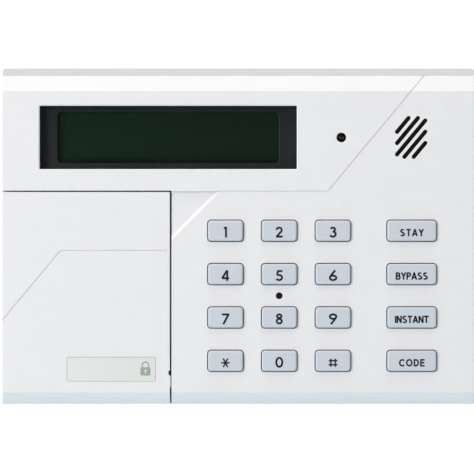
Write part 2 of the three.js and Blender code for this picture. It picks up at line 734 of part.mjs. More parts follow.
const controllerChip = () => box(CHIP.left, CHIP.right, ON_BOARD, ON_BOARD + CHIP.depth, CHIP.low, CHIP.high);

function filterCapacitor() {
  const { x, z, radius, length } = CAPACITOR;
  return rodY(x, z, ON_BOARD, ON_BOARD + length, radius, radius, 20);
}

// A flat cable that stands on the LCD board, bridges the gap and comes down on the main board.
function ribbonCable() {
  const { start, end, low, high, thickness, back } = CABLE;
  return join(
    box(start, start + thickness, LCD_BOARD_BACK + REST_GAP, back, low, high),
    box(start, end, back - thickness, back, low, high),
    box(end - thickness, end, ON_BOARD, back, low, high),
  );
}

// One lead of the harness, from the plug out through the cable opening.
function harnessWire(index) {
  const x = (index - 1.5) * WIRE.pitch;
  const start = BOARD_BACK + PLUG.back + 1;
  const route = [
    [x, start, 0],
    [x, start + 2, 2.5],
    [x * 0.95, -6.6, 10],
    [x * 0.85, -6.4, 18],
    [x * 0.8, -4.2, 25],
    [x * 0.8, -0.5, 27],
  ];
  const points = route.map(([across, depth, climb]) => new THREE.Vector3(across, depth, HEADER.z + climb));
  const curve = new THREE.CatmullRomCurve3(points);
  const round = new THREE.Shape();
  round.absarc(0, 0, WIRE.radius, 0, Math.PI * 2);
  return solid(new THREE.ExtrudeGeometry(round, { steps: 10, curveSegments: 4, extrudePath: curve }));
}

// ---------------------------------------------------------------- assembly

const panel = new THREE.Group();

function place(name, manifold, material, position = [0, 0, 0], parent = panel) {
  const mesh = new THREE.Mesh(geometryOf(manifold), material);
  mesh.name = name;
  mesh.position.set(...position);
  parent.add(mesh);
  return mesh;
}

place("rear_tray", rearTray(), MATERIALS.tray);
place("front_cover", frontCover(), MATERIALS.casing);
place("instruction_card", instructionCard(), MATERIALS.card);

const door = new THREE.Group();
place("door_panel", doorPanel(), MATERIALS.casing, [0, 0, 0], door);
place("nameplate", nameplate(), MATERIALS.plate, [0, 0, 0], door);
panel.add(door);

const digitCap = keyCap(KEYS.digitHole);
const functionCap = keyCap(KEYS.functionHole);
for (const { name, x, z, hole } of keyPlaces()) {
  place(name, hole === KEYS.digitHole ? digitCap : functionCap, MATERIALS.keycap, [x, 0, z]);
}
place("keypad_mat", keypadMat(), MATERIALS.rubber);

place("display_lens", displayLens(), MATERIALS.clear);
place("lcd_frame", lcdFrame(), MATERIALS.frame);
place("lcd_glass", lcdGlass(), MATERIALS.glass);
place("lcd_board", lcdBoard(), MATERIALS.circuit);
place("lcd_ribbon_cable", ribbonCable(), MATERIALS.wireBlack);

place("main_board", mainBoard(), MATERIALS.circuit);
place("sounder", soundDisc(), MATERIALS.black);
place("armed_led", armedLed(), MATERIALS.led);
place("led_spacer", ledSpacer(), MATERIALS.black);
place("microphone", microphone(), MATERIALS.steel);
place("controller_chip", controllerChip(), MATERIALS.black);
place("filter_capacitor", filterCapacitor(), MATERIALS.black);
place("wire_header", wireHeader(), MATERIALS.card);
place("wire_plug", wirePlug(), MATERIALS.card);
["wireRed", "wireBlack", "wireGreen", "wireYellow"].forEach((slot, index) => {
  place("wire_" + slot.slice(4).toLowerCase(), harnessWire(index), MATERIALS[slot]);
});

const screw = crossHeadScrew();
BOARD_SCREWS.forEach(([x, z], index) => {
  place(`board_screw_${index + 1}`, screw, MATERIALS.steel, [x, ON_BOARD, z]);
});
lcdScrewPlaces().forEach(([x, z], index) => {
  place(`lcd_screw_${index + 1}`, screw, MATERIALS.steel, [x, LCD_BOARD_BACK + REST_GAP, z]);
});

export default panel;
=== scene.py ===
import math
from itertools import combinations

import bmesh
import bpy
import numpy as np
from mathutils import Matrix, Vector

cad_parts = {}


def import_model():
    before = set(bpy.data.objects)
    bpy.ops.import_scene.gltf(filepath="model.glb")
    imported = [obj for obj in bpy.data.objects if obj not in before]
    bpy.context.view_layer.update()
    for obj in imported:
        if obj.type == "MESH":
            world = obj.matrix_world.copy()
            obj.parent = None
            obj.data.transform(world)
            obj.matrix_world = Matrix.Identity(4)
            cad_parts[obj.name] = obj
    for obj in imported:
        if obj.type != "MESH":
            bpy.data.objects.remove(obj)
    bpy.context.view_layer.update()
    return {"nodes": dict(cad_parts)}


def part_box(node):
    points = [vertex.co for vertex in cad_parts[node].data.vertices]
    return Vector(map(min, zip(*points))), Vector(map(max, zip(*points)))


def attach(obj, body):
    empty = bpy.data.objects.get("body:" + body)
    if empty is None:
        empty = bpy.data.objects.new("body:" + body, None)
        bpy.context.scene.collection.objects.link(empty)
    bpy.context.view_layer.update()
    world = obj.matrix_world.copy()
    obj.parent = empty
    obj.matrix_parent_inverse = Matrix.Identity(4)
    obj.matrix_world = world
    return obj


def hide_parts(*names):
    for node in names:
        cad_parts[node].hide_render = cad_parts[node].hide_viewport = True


# A wall-mounted alarm keypad panel. Shapes are built in millimetres in the panel's own frame: X to the
# user's right, Z up, the user on the -Y side, the wall at y = 0. Each piece is scaled to metres at the end.

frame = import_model()

MM = 0.001


def cad(node):
    """Lowest and highest corner of a CAD node in millimetres."""
    low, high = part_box(node)
    return low / MM, high / MM


def centre_xz(node):
    low, high = cad(node)
    return (low.x + high.x) / 2, (low.z + high.z) / 2


# -------- dimensions

TRAY_LOW, TRAY_HIGH = cad("rear_tray")
FRONT = cad("front_cover")[0].y
BACK_HALF = TRAY_HIGH.x
TOP = TRAY_HIGH.z
BOTTOM = TRAY_LOW.z

FRONT_HALF = 98.4  # half the width of the front face; the sides draft outwards to BACK_HALF at the wall
BAND_TOP = (-25.0, 66.5)  # (y, z) of the upper edge of the sloping band
BAND_FOOT = 60.0  # height where the band meets the front face
TURN = [(-30.0, -65.6), (-28.75, -67.45), (-27.35, -69.1), (-25.8, -70.5)]  # the lower front edge turns under
CORNER = 2.0  # corner radius of the outline at the wall
EDGE, INNER_EDGE = 0.4, 0.25  # rounding of the case's edges, outside and inside
WALL = 2.2
UNDER = FRONT + WALL  # the cover's inner face
FAR = 140.0  # past the panel on every side
SLIVER = 0.001  # keeps the faces of two joined forms out of one plane

SLOPE = 1.2  # rise over run of the slanting style lines
DIVIDER_Z, DIVIDER_BEND_X = 18.2, 37.3  # the cover's line runs level, then climbs from here
DOOR_BEND = (-74.1, -6.5)  # (x, z) where the door's line turns down
BAY_RIGHT, BAY_TOP, BAY_FLOOR = -27.9, 18.5, -19.5
DOOR_RIGHT, DOOR_TOP, DOOR_BACK = -28.6, 17.95, -20.0
HINGE_Y, HINGE_Z = -25.0, -61.0
PAD_FRONT, PAD_HALF = -29.4, 2.3  # the flat pad in front of the right hinge boss
SPRING_SLOT = (-29.1, -24.0, -58.5, -56.3)  # (y0, y1, z0, z1) of the slot above it, in door and bay alike
NICK = (-58.3, -56.5)  # (z0, z1) where the slot opens at the door's face
PIN, BORE, BOSS = 1.5, 1.7, 2.5  # radii of the hinge pins, their holes and the right pin's boss
LEFT_PIN = (-96.8, -92.6)  # (x0, x1)
CHEEK, TROUGH = 10.9, 11.3  # radii of the door's rounded foot and of the hollow it turns in
LINING = 2.0  # wall of the bay
LUG = (-95.5, -93.0)  # (x0, x1) of the arm that holds the left pin
LUG_HALF, LUG_REACH, LUG_LEAN = 2.8, 12.5, math.radians(60)
SCOOP_LEG, SCOOP_DEPTH = 18.6, 1.2  # the leg is measured at the floor; the slanting side rises at 45 degrees
COVER_BACK, TRAY_FRONT, PARTING = -8.3, -8.0, -8.15
CATCH_X, CATCH_HALF = 60.0, 3.5  # the two catches that hold cover and tray together at the foot
DOOR_LIP = 0.22  # rounding along the gap between door and bay

# -------- mesh building


def link(name, data):
    """A new object in the scene."""
    made = bpy.data.objects.new(name, data)
    bpy.context.scene.collection.objects.link(made)
    return made


def solid(points, faces):
    mesh = bpy.data.meshes.new("solid")
    mesh.from_pydata([tuple(float(c) for c in p) for p in points], [], faces)
    work = bmesh.new()
    work.from_mesh(mesh)
    bmesh.ops.remove_doubles(work, verts=work.verts, dist=1e-4)
    bmesh.ops.recalc_face_normals(work, faces=work.faces)
    work.to_mesh(mesh)
    work.free()
    return link("solid", mesh)


def loft(loops, closed=False):
    """Joins equal loops of points with quads. An open loft gets a flat cap at each end."""
    count = len(loops[0])
    points = [p for loop in loops for p in loop]
    faces = []
    spans = len(loops) if closed else len(loops) - 1
    for i in range(spans):
        a, b = i * count, (i + 1) % len(loops) * count
        for k in range(count):
            n = (k + 1) % count
            faces.append((a + k, a + n, b + n, b + k))
    if not closed:
        faces.append(tuple(range(count)))
        faces.append(tuple(range(len(points) - 1, len(points) - 1 - count, -1)))
    return solid(points, faces)


def boolean(target, tool, operation):
    """Joins or cuts two closed meshes, and uses up the tool."""
    modifier = target.modifiers.new("boolean", "BOOLEAN")
    modifier.solver = "MANIFOLD"
    modifier.operation = operation
    modifier.object = tool
    graph = bpy.context.evaluated_depsgraph_get()
    result = bpy.data.meshes.new_from_object(target.evaluated_get(graph))
    target.modifiers.clear()
    target.data = result
    bpy.data.objects.remove(tool)
    return target


def cut(target, *tools):
    for tool in tools:
        boolean(target, tool, "DIFFERENCE")
    return target


def join(target, *others):
    for other in others:
        boolean(target, other, "UNION")
    return target


def common(target, tool):
    return boolean(target, tool, "INTERSECT")


def block(x0, x1, y0, y1, z0, z1):
    front = [(x0, y0, z0), (x1, y0, z0), (x1, y0, z1), (x0, y0, z1)]
    return loft([front, [(x, y1, z) for x, _, z in front]])


# Outlines are functions of an offset that return points in (x, z).


def arc(x, z, rx, rz, start, end, count=22):
    """Points on an ellipse from one angle to another, in degrees."""
    turns = [math.radians(start + (end - start) * k / count) for k in range(count + 1)]
    return [(x + rx * math.cos(t), z + rz * math.sin(t)) for t in turns]


def rounded_box(x, z, width, height, radius, steps=7):
    def outline(offset=0.0):
        r = max(radius + offset, 0.02)
        half_w, half_h = width / 2 + offset - r, height / 2 + offset - r
        points = []
        for sx, sz, start in ((1, -1, -90), (1, 1, 0), (-1, 1, 90), (-1, -1, 180)):
            points += arc(x + sx * half_w, z + sz * half_h, r, r, start, start + 90, steps)
        return points

    return outline


def over_node(node, radius, grow=0.0):
    """A rounded rectangle over the front view of a CAD node."""
    low, high = cad(node)
    return rounded_box(*centre_xz(node), high.x - low.x + grow, high.z - low.z + grow, radius)


def circle(x, z, radius, sides=48):
    def outline(offset=0.0):
        return arc(x, z, radius + offset, radius + offset, 0, 360, sides)[:-1]

    return outline


def capsule(start, end, radius, steps=10):
    def outline(offset=0.0):
        heading = math.degrees(math.atan2(end[1] - start[1], end[0] - start[0]))
        r = radius + offset
        far_end = arc(*end, r, r, heading - 90, heading + 90, steps)
        return far_end + arc(*start, r, r, heading + 90, heading + 270, steps)

    return outline


def in_depth(outline, stations):
    """A solid with one loop of its outline at each (depth, offset)."""
    return loft([[(x, y, z) for x, z in outline(offset)] for y, offset in stations])


def prism(outline, y0, y1):
    return in_depth(outline, [(y0, 0), (y1, 0)])


def flared(outline, lip, front, back):
    """A cutter for an opening whose front edge is rounded outwards by lip."""
    curve = []
    for degrees in (84, 68, 52, 36, 18, 0):
        t = math.radians(degrees)
        curve.append((front + lip * (1 - math.sin(t)), lip * (1 - math.cos(t))))
    return in_depth(outline, [(front - 1, curve[0][1])] + curve + [(back, 0)])


def eased(outline, edge, front, back, steps=6, depth=None):
    """A solid whose front edge is rounded inwards by edge, over a depth of edge unless one is given."""
    curve = []
    for k in range(steps + 1):
        t = math.pi / 2 * (1 - k / steps)
        curve.append((front + (depth or edge) * (1 - math.sin(t)), edge * (math.cos(t) - 1)))
    return in_depth(outline, curve + [(back, 0)])


def sheet(node, radius, edge, steps):
    """A thin plate in the place of a CAD node."""
    low, high = cad(node)
    return eased(over_node(node, radius), edge, low.y, high.y, steps)


def rod_y(x, z, y0, y1, radius, sides=32):
    return prism(circle(x, z, radius, sides), y0, y1)


def sweep_x(section, x0, x1):
    return loft([[(x, y, z) for y, z in section] for x in (x0, x1)])


def rod_hinge(x0, x1, radius, sides=72):
    """A round bar along the door's hinge line."""
    return sweep_x(circle(HINGE_Y, HINGE_Z, radius, sides)(), x0, x1)


# -------- the case's rounded outer form


def case_planes(inset, back):
    """Half-spaces (outward normal, offset) whose common part is the case, shrunk by inset."""

    def through(a, b):
        """The plane along X through two (y, z) points, facing away from the middle of the case."""
        normal = Vector((0, b[1] - a[1], a[0] - b[0])).normalized()
        if normal.y * a[0] + normal.z * a[1] < 0:
            normal = -normal
        return normal, normal.y * a[0] + normal.z * a[1]

    planes = [
        (Vector((0, -1, 0)), -FRONT),
        (Vector((0, 1, 0)), back + inset),
        through((0, TOP), BAND_TOP),
        through(BAND_TOP, (FRONT, BAND_FOOT)),
        (Vector((0, 0, -1)), -BOTTOM),
    ]
    planes += [through(a, b) for a, b in zip(TURN, TURN[1:])]
    tilt = (BACK_HALF - FRONT_HALF) / FRONT
    for side in (-1, 1):
        normal = Vector((side, tilt, 0))
        planes.append((normal.normalized(), BACK_HALF / normal.length))
        for up in (-1, 1):
            for t in (math.pi / 8, math.pi / 4, math.pi * 3 / 8):
                normal = Vector((side * math.cos(t), 0, up * math.sin(t)))
                middle = Vector((side * (BACK_HALF - CORNER), 0, up * (TOP - CORNER)))
                planes.append((normal, normal.dot(middle) + CORNER))
    return [(normal, offset - inset) for normal, offset in planes]


def rounded_polytope(planes, radius, steps=4):
    """The solid inside every plane, with its edges rounded. Three planes meet at each corner."""
    normals = np.array([tuple(n) for n, _ in planes])
    limits = np.array([d for _, d in planes]) - radius
    corners = []
    for trio in combinations(range(len(planes)), 3):
        matrix = normals[list(trio)]
        if abs(np.linalg.det(matrix)) < 1e-9:
            continue
        point = np.linalg.solve(matrix, limits[list(trio)])
        if (normals @ point <= limits + 1e-7).all():
            corners.append((point, trio))

    def direction(*weighted):
        total = sum(w * normals[i] for i, w in weighted)
        return total / np.linalg.norm(total)

    points, faces = [], []

    def add_face(loop):
        start = len(points)
        points.extend(loop)
        faces.append(tuple(range(start, start + len(loop))))

    for i in range(len(planes)):
        ring = [p + radius * normals[i] for p, trio in corners if i in trio]
        if len(ring) < 3:
            continue
        middle = sum(ring) / len(ring)
        u = ring[0] - middle
        u = u / np.linalg.norm(u)
        v = np.cross(normals[i], u)
        add_face(sorted(ring, key=lambda p: math.atan2((p - middle) @ v, (p - middle) @ u)))
    for (p, a), (q, b) in combinations(corners, 2):
        shared = sorted(set(a) & set(b))
        if len(shared) != 2:
            continue
        i, j = shared
        arc = [radius * direction((i, 1 - k / steps), (j, k / steps)) for k in range(steps + 1)]
        for d0, d1 in zip(arc, arc[1:]):
            add_face([p + d0, p + d1, q + d1, q + d0])
    for p, (i, j, k) in corners:

        def spot(a, b):
            return p + radius * direction((i, a), (j, b), (k, steps - a - b))

        for a in range(steps):
            for b in range(steps - a):
                add_face([spot(a, b), spot(a + 1, b), spot(a, b + 1)])
                if a + b < steps - 1:
                    add_face([spot(a + 1, b), spot(a + 1, b + 1), spot(a, b + 1)])
    return solid(points, faces)


def case_form(inset):
    return rounded_polytope(case_planes(inset, 0), EDGE)


def inner_form(inset):
    """The case shrunk by inset, but open through the back."""
    return rounded_polytope(case_planes(inset, 10), INNER_EDGE)


def parting_groove():
    """A small V with 45 degree sides, round the case where cover and tray meet."""
    depth, proud = 0.32, 0.4
    half = BACK_HALF + (BACK_HALF - FRONT_HALF) * PARTING / -FRONT
    top = TOP + (TOP - BAND_TOP[1]) / -BAND_TOP[0] * PARTING
    outline = rounded_box(0, (top + BOTTOM) / 2, 2 * half, top - BOTTOM, CORNER)
    section = [(-depth, PARTING), (proud, PARTING - depth - proud), (proud, PARTING + depth + proud)]
    rings = [[(x, y, z) for x, z in outline(offset)] for offset, y in section]
    return loft(list(zip(*rings)), closed=True)


GROOVE_STEPS = ((0.64, 0.09), (0.38, 0.36))  # (width, depth) of a style line's rim and of its floor


def groove(points):
    """The style line: a soft-edged channel of even depth along straight pieces on the front."""
    tools = []
    for width, depth in GROOVE_STEPS:
        for (x0, z0), (x1, z1) in zip(points, points[1:]):
            along = Vector((x1 - x0, z1 - z0)).normalized() * width / 2
            side = Vector((-along.y, along.x))
            a, b = Vector((x0, z0)) - along * 0.4, Vector((x1, z1)) + along * 0.4
            corners = [tuple(a - side), tuple(b - side), tuple(b + side), tuple(a + side)]
            strip = loft([[(x, y, z) for x, z in corners] for y in (FRONT - 2, -20)])
            tools.append(cut(strip, case_form(depth)))
    return tools


# -------- front cover

WINDOW_X, WINDOW_Z = centre_xz("display_lens")
LED_X, LED_Z = centre_xz("armed_led")
MIC_X, MIC_Z = centre_xz("microphone")
GRILLE_X, GRILLE_Z = centre_xz("sounder")
KEY_NODES = [n for n in frame["nodes"] if n.startswith("key_")]
FLANGE = 0.8  # how far a key's flange reaches under the cover
HOLE_CORNER = 1.7
WINDOW_SIZE, VIEW_SIZE = (107.2, 26.4), (92.3, 21.2)  # the cover's opening, and the frame's behind it
LED_HOLE, MIC_HOLE, SLOT_RADIUS = 1.95, 1.42, 0.875
GRILLE_HALF_X, GRILLE_HALF_Z, SLOT_PITCH = 5.9, 8.1, 3.0
POSTS = (("main_board", "board_screw_", 3.0, 1.6), ("lcd_board", "lcd_screw_", 2.4, 1.4))
# Edges of two openings, as (depth below the front, how far the opening is wider there).
SILL = [(-1, 0.44), (0.01, 0.42), (0.05, 0.37), (0.36, 0.04), (0.44, 0), (WALL + 1, 0)]
LED_TAPER = [(-1, 0.21), (0.02, 0.19), (0.1, 0.13), (WALL, 0), (WALL + 0.5, 0)]


def grille_slots():
    """Five parallel slots that slant like the style lines, each as long as the grille's box allows."""
    along = Vector((1, SLOPE)).normalized()
    slots = []
    for index in range(-2, 3):
        x, z = along.y * index * SLOT_PITCH, -along.x * index * SLOT_PITCH
        start = max((-GRILLE_HALF_X - x) / along.x, (-GRILLE_HALF_Z - z) / along.y)
        end = min((GRILLE_HALF_X - x) / along.x, (GRILLE_HALF_Z - z) / along.y)
        ends = [(GRILLE_X + x + along.x * t, GRILLE_Z + z + along.y * t) for t in (start, end)]
        slots.append(capsule(*ends, SLOT_RADIUS))
    return slots


def left_corner(right, top):
    """The lower left part of the front, up to a right and a top edge."""

    def outline(offset=0.0):
        return [(-FAR, -FAR), (right + offset, -FAR), (right + offset, top + offset), (-FAR, top + offset)]

    return outline


def bay_lining():
    outer = join(
        block(-FAR, BAY_RIGHT + LINING, FRONT, BAY_FLOOR + LINING, -FAR, BAY_TOP + LINING),
        rod_hinge(-FAR, BAY_RIGHT + LINING + SLIVER, TROUGH + LINING),
    )
    return common(outer, case_form(0))


def bay_hollow():
    hollow = flared(left_corner(BAY_RIGHT, BAY_TOP), DOOR_LIP, FRONT, BAY_FLOOR)
    return join(hollow, rod_hinge(-FAR, BAY_RIGHT - SLIVER, TROUGH))


def finger_scoop():
    """A shallow hollow beside the door: a right triangle with rounded rims."""
    left, top = BAY_RIGHT, DIVIDER_Z
    right, low, floor = left + SCOOP_LEG, top - SCOOP_LEG, FRONT + SCOOP_DEPTH

    def triangle(offset):
        """The hollow's outline: the slanting side moves outwards, the others stay."""
        shift = offset * math.sqrt(2)
        return [(left - 1, low - 1 - shift), (right + shift, top), (left - 1, top)]

    rim = [(FRONT - 1, 0.1), (FRONT + 0.02, 0.02), (FRONT + 0.12, -0.12)]
    wall = [(y, SCOOP_DEPTH + offset) for y, offset in rim]
    wall += [(floor - 0.12, 0.12), (floor - 0.04, 0.02), (floor, -0.02)]
    hollow = in_depth(triangle, wall)
    return common(hollow, block(left - 0.5, FAR, FRONT - 2, floor + 1, -FAR, top))


def lug():
    """The arm that holds the left hinge pin. It rises from the pin to the floor of the bay."""
    left, right = LUG
    along = Vector((math.cos(LUG_LEAN), math.sin(LUG_LEAN)))
    side = Vector((-along.y, along.x)) * LUG_HALF
    end = along * LUG_REACH
    base = Vector((HINGE_Y, HINGE_Z))
    section = [tuple(base + p) for p in (-side, end - side, end + side, side)]
    arm = join(sweep_x(section, left, right), rod_hinge(left + SLIVER, right - SLIVER, LUG_HALF, 48))
    return cut(arm, rod_hinge(left - 1, right + 1, BORE, 32))


def screw_post(x, z, back, radius, bore):
    """A post with a blind bore, sunk into the front wall."""
    return cut(rod_y(x, z, UNDER - 0.5, back, radius), rod_y(x, z, UNDER + 0.3, back + 1, bore, 24))


def opening(outline, edge):
    return in_depth(outline, [(FRONT + y, offset) for y, offset in edge])


def slab(y0, y1):
    return block(-FAR, FAR, y0, y1, -FAR, FAR)


def front_cover():
    shell = common(case_form(0), slab(FRONT - 5, COVER_BACK))
    cut(shell, inner_form(WALL))
    join(shell, bay_lining())
    cut(shell, bay_hollow())
    join(shell, lug())
    for board, screw, radius, bore in POSTS:
        for node in sorted(n for n in frame["nodes"] if n.startswith(screw)):
            join(shell, screw_post(*centre_xz(node), cad(board)[0].y, radius, bore))
    cut(shell, opening(rounded_box(WINDOW_X, WINDOW_Z, *WINDOW_SIZE, 0.35), SILL))
    for node in KEY_NODES:
        cut(shell, flared(over_node(node, HOLE_CORNER, -2 * FLANGE), 0.13, FRONT, UNDER + 1))
    for slot in grille_slots():
        cut(shell, flared(slot, 0.07, FRONT, UNDER + 1))
    cut(shell, opening(circle(LED_X, LED_Z, LED_HOLE), LED_TAPER))
    cut(shell, flared(circle(MIC_X, MIC_Z, MIC_HOLE), 0.08, FRONT, UNDER + 1))
    cut(shell, rod_hinge(BAY_RIGHT - 1, BAY_RIGHT + LINING + 1, BORE, 32))
    cut(shell, block(BAY_RIGHT - 0.5, BAY_RIGHT + LINING + 0.5, *SPRING_SLOT))
    divider_start = (BAY_RIGHT + SCOOP_LEG + 0.6, DIVIDER_Z)
    divider_end = (DIVIDER_BEND_X + (BAND_TOP[1] - DIVIDER_Z) / SLOPE, BAND_TOP[1])
    cut(shell, *groove([divider_start, (DIVIDER_BEND_X, DIVIDER_Z), divider_end]))
    cut(shell, finger_scoop())
    for x in (-CATCH_X, CATCH_X):
        cut(shell, block(x - CATCH_HALF - 0.5, x + CATCH_HALF + 0.5, -9.8, -6, BOTTOM - 1, BOTTOM + 4))
    return cut(shell, parting_groove())


# -------- rear tray


TONGUE = (2.5, 4.0)  # how far the tongue's outer and inner faces lie inside the case
TONGUE_TIP, TRAY_FLOOR = -10.5, -2.0
RIBS, RIB_HALF = (-70, -35, 35, 70), 0.75
# Shallow panels in the back, as (x0, x1, z0, z1). They leave a pad round each screw and the cable opening.
PANELS = [(-88, -62, 4, 58), (-88, -62, -58, -4), (62, 88, 4, 58), (62, 88, -58, -4)]
PANELS += [(-38, 38, 12, 58), (-38, -23, -58, -4), (23, 38, -58, -4)]
EJECTOR_MARKS = [(0, 2), (0, -52), (-50, 0), (50, 0), (-50, 58), (50, 58), (-93, 0), (93, 0)]
WALL_SCREW_X, KEYHOLE_Z, LOWER_HOLE_Z = 50, 40, -45
KEYHOLE_HEAD, KEYHOLE_NECK, NECK_RISE, LOWER_HOLE = 4, 2.1, 6, 2.3  # radii, and how far the neck rises
CABLE_OPENING = (0, -24, 34, 24, 3)  # x, z, width, height, corner
# Edges in the back, as (y, how far the opening is wider there).
PANEL_EDGE = [(-0.5, 0), (-0.42, 0.06), (-0.06, 0.14), (0.02, 0.3), (1, 0.3)]
CABLE_EDGE = [(-8, 0), (-0.5, 0), (-0.2, 0.1), (0.01, 0.4), (1, 0.4)]
KEYHOLE_EDGE = [(-3, 0), (-0.3, 0), (1, 1.3)]
HOLE_EDGE = [(-3, 0), (-0.35, 0), (0.05, 0.5), (1, 0.5)]


def rear_tray():
    shell = common(case_form(0), slab(TRAY_FRONT, 1))
    outer, inner = TONGUE
    cut(shell, common(inner_form(inner), slab(-20, TRAY_FLOOR)))
    tongue = common(inner_form(outer), slab(TONGUE_TIP, -4))
    join(shell, cut(tongue, inner_form(inner + SLIVER)))
    for x in RIBS:
        join(shell, block(x - RIB_HALF, x + RIB_HALF, -6, TRAY_FLOOR + 0.5, BOTTOM + 3, TOP - 3))
    for x in (-CATCH_X, CATCH_X):
        join(shell, block(x - CATCH_HALF, x + CATCH_HALF, -10.4, -6, BOTTOM + 2.4, BOTTOM + 4.3))
    for x0, x1, z0, z1 in PANELS:
        panel = rounded_box((x0 + x1) / 2, (z0 + z1) / 2, x1 - x0, z1 - z0, 2.5)
        cut(shell, in_depth(panel, PANEL_EDGE))
    cut(shell, in_depth(rounded_box(*CABLE_OPENING), CABLE_EDGE))
    for x in (-WALL_SCREW_X, WALL_SCREW_X):
        head = circle(x, KEYHOLE_Z, KEYHOLE_HEAD)
        neck = capsule((x, KEYHOLE_Z), (x, KEYHOLE_Z + NECK_RISE), KEYHOLE_NECK)
        cut(shell, in_depth(head, KEYHOLE_EDGE), in_depth(neck, KEYHOLE_EDGE))
        cut(shell, in_depth(circle(x, LOWER_HOLE_Z, LOWER_HOLE), HOLE_EDGE))
    for x, z in EJECTOR_MARKS:
        cut(shell, cut(rod_y(x, z, -0.7, 1, 3.2, 40), rod_y(x, z, -0.8, 2, 2.9, 40)))
    return cut(shell, parting_groove())


# -------- door


DOOR_WALL = 2.0
DOOR_INNER_LEFT = -96.3  # inner face of the left wall
POCKET_SIZE = (37.0, 10.2)
NIB = (-66, -54, -26, -24)  # (x0, x1, y0, y1) of the snap on the top edge
CROSS_RIBS, DOWN_RIBS, THIN_RIB_HALF = (-38.0, -22.0, -6.0, 8.0), (-78.0, -62.0, -46.0), 0.4


def door_region():
    plate = eased(left_corner(DOOR_RIGHT, DOOR_TOP), DOOR_LIP, FRONT - SLIVER, DOOR_BACK)
    return join(plate, rod_hinge(-FAR, DOOR_RIGHT - SLIVER, CHEEK))


def door_shell():
    shell = common(case_form(0), door_region())
    hollow = block(DOOR_INNER_LEFT, DOOR_RIGHT - DOOR_WALL, FRONT, 5, BOTTOM, DOOR_TOP - DOOR_WALL)
    cut(shell, common(inner_form(DOOR_WALL), hollow))
    cut(shell, block(DOOR_INNER_LEFT, LUG[1] + 0.6, DOOR_BACK - 2, 5, BOTTOM - 1, HINGE_Z))
    x, z = DOOR_BEND
    reach = x + FRONT_HALF + 2
    cut(shell, *groove([(DOOR_RIGHT - 1.2, z), (x, z), (x - reach, z - reach * SLOPE)]))
    pocket = rounded_box(*centre_xz("nameplate"), *POCKET_SIZE, 0.6)
    cut(shell, flared(pocket, 0.12, FRONT, FRONT + 0.5))
    root = FRONT + DOOR_WALL - 0.2
    for z in CROSS_RIBS:
        join(shell, block(-96.5, DOOR_RIGHT - 1.5, root, FRONT + 3.2, z - THIN_RIB_HALF, z + THIN_RIB_HALF))
    for x in DOWN_RIBS:
        join(shell, block(x - THIN_RIB_HALF, x + THIN_RIB_HALF, root, FRONT + 3.1, -60, DOOR_TOP - 1.5))
    join(shell, block(*NIB, DOOR_TOP - 0.5, DOOR_TOP + 0.25))
    join(shell, rod_hinge(*LEFT_PIN, PIN, 32))
    boss = (DOOR_RIGHT - 0.5, DOOR_RIGHT + 0.45)
    join(shell, rod_hinge(*boss, BOSS, 48))
    join(shell, block(*boss, PAD_FRONT, HINGE_Y, HINGE_Z - PAD_HALF, HINGE_Z + PAD_HALF))
    cut(shell, block(DOOR_RIGHT - 2.5, DOOR_RIGHT + 0.5, *SPRING_SLOT))
    cut(shell, block(DOOR_RIGHT - 0.55, DOOR_RIGHT + 0.5, FRONT - 1, SPRING_SLOT[0] + 0.5, *NICK))
    return join(shell, rod_hinge(DOOR_RIGHT - 0.6, BAY_RIGHT + 1.8, PIN, 32))


# -------- keys

CLEARANCE = 0.4  # between a cap and its hole, all round
CAP_CORNER = 1.3
CROWN_DEPTH, CROWN_WIDTH = 0.55, 0.78  # the rounding round a cap's face
PLUNGER = 3.0


def key_cap(node):
    """One key about its own centre: rounded cap, retaining flange and plunger."""
    low, high = cad(node)
    width, height = high.x - low.x, high.z - low.z
    cap_w, cap_h = width - 2 * (FLANGE + CLEARANCE), height - 2 * (FLANGE + CLEARANCE)
    face = rounded_box(0, 0, cap_w, cap_h, CAP_CORNER, 9)
    cap = eased(face, CROWN_WIDTH, low.y, UNDER + 1, 8, CROWN_DEPTH)
    flange = block(-width / 2, width / 2, UNDER + 0.1, UNDER + 1.1, -height / 2, height / 2)
    return join(cap, flange, rod_y(0, 0, UNDER + 0.8, high.y, PLUNGER))


# -------- legends, as strokes on a letter height of 1


def bowl(x, y, rx, ry, top, foot, count=16):
    """The round part of a B, P or D, joined to its stem at the top and at the foot."""
    return [(0.05, top), (x, top)] + arc(x, y, rx, ry, 88, -88, count) + [(0.05, foot)]


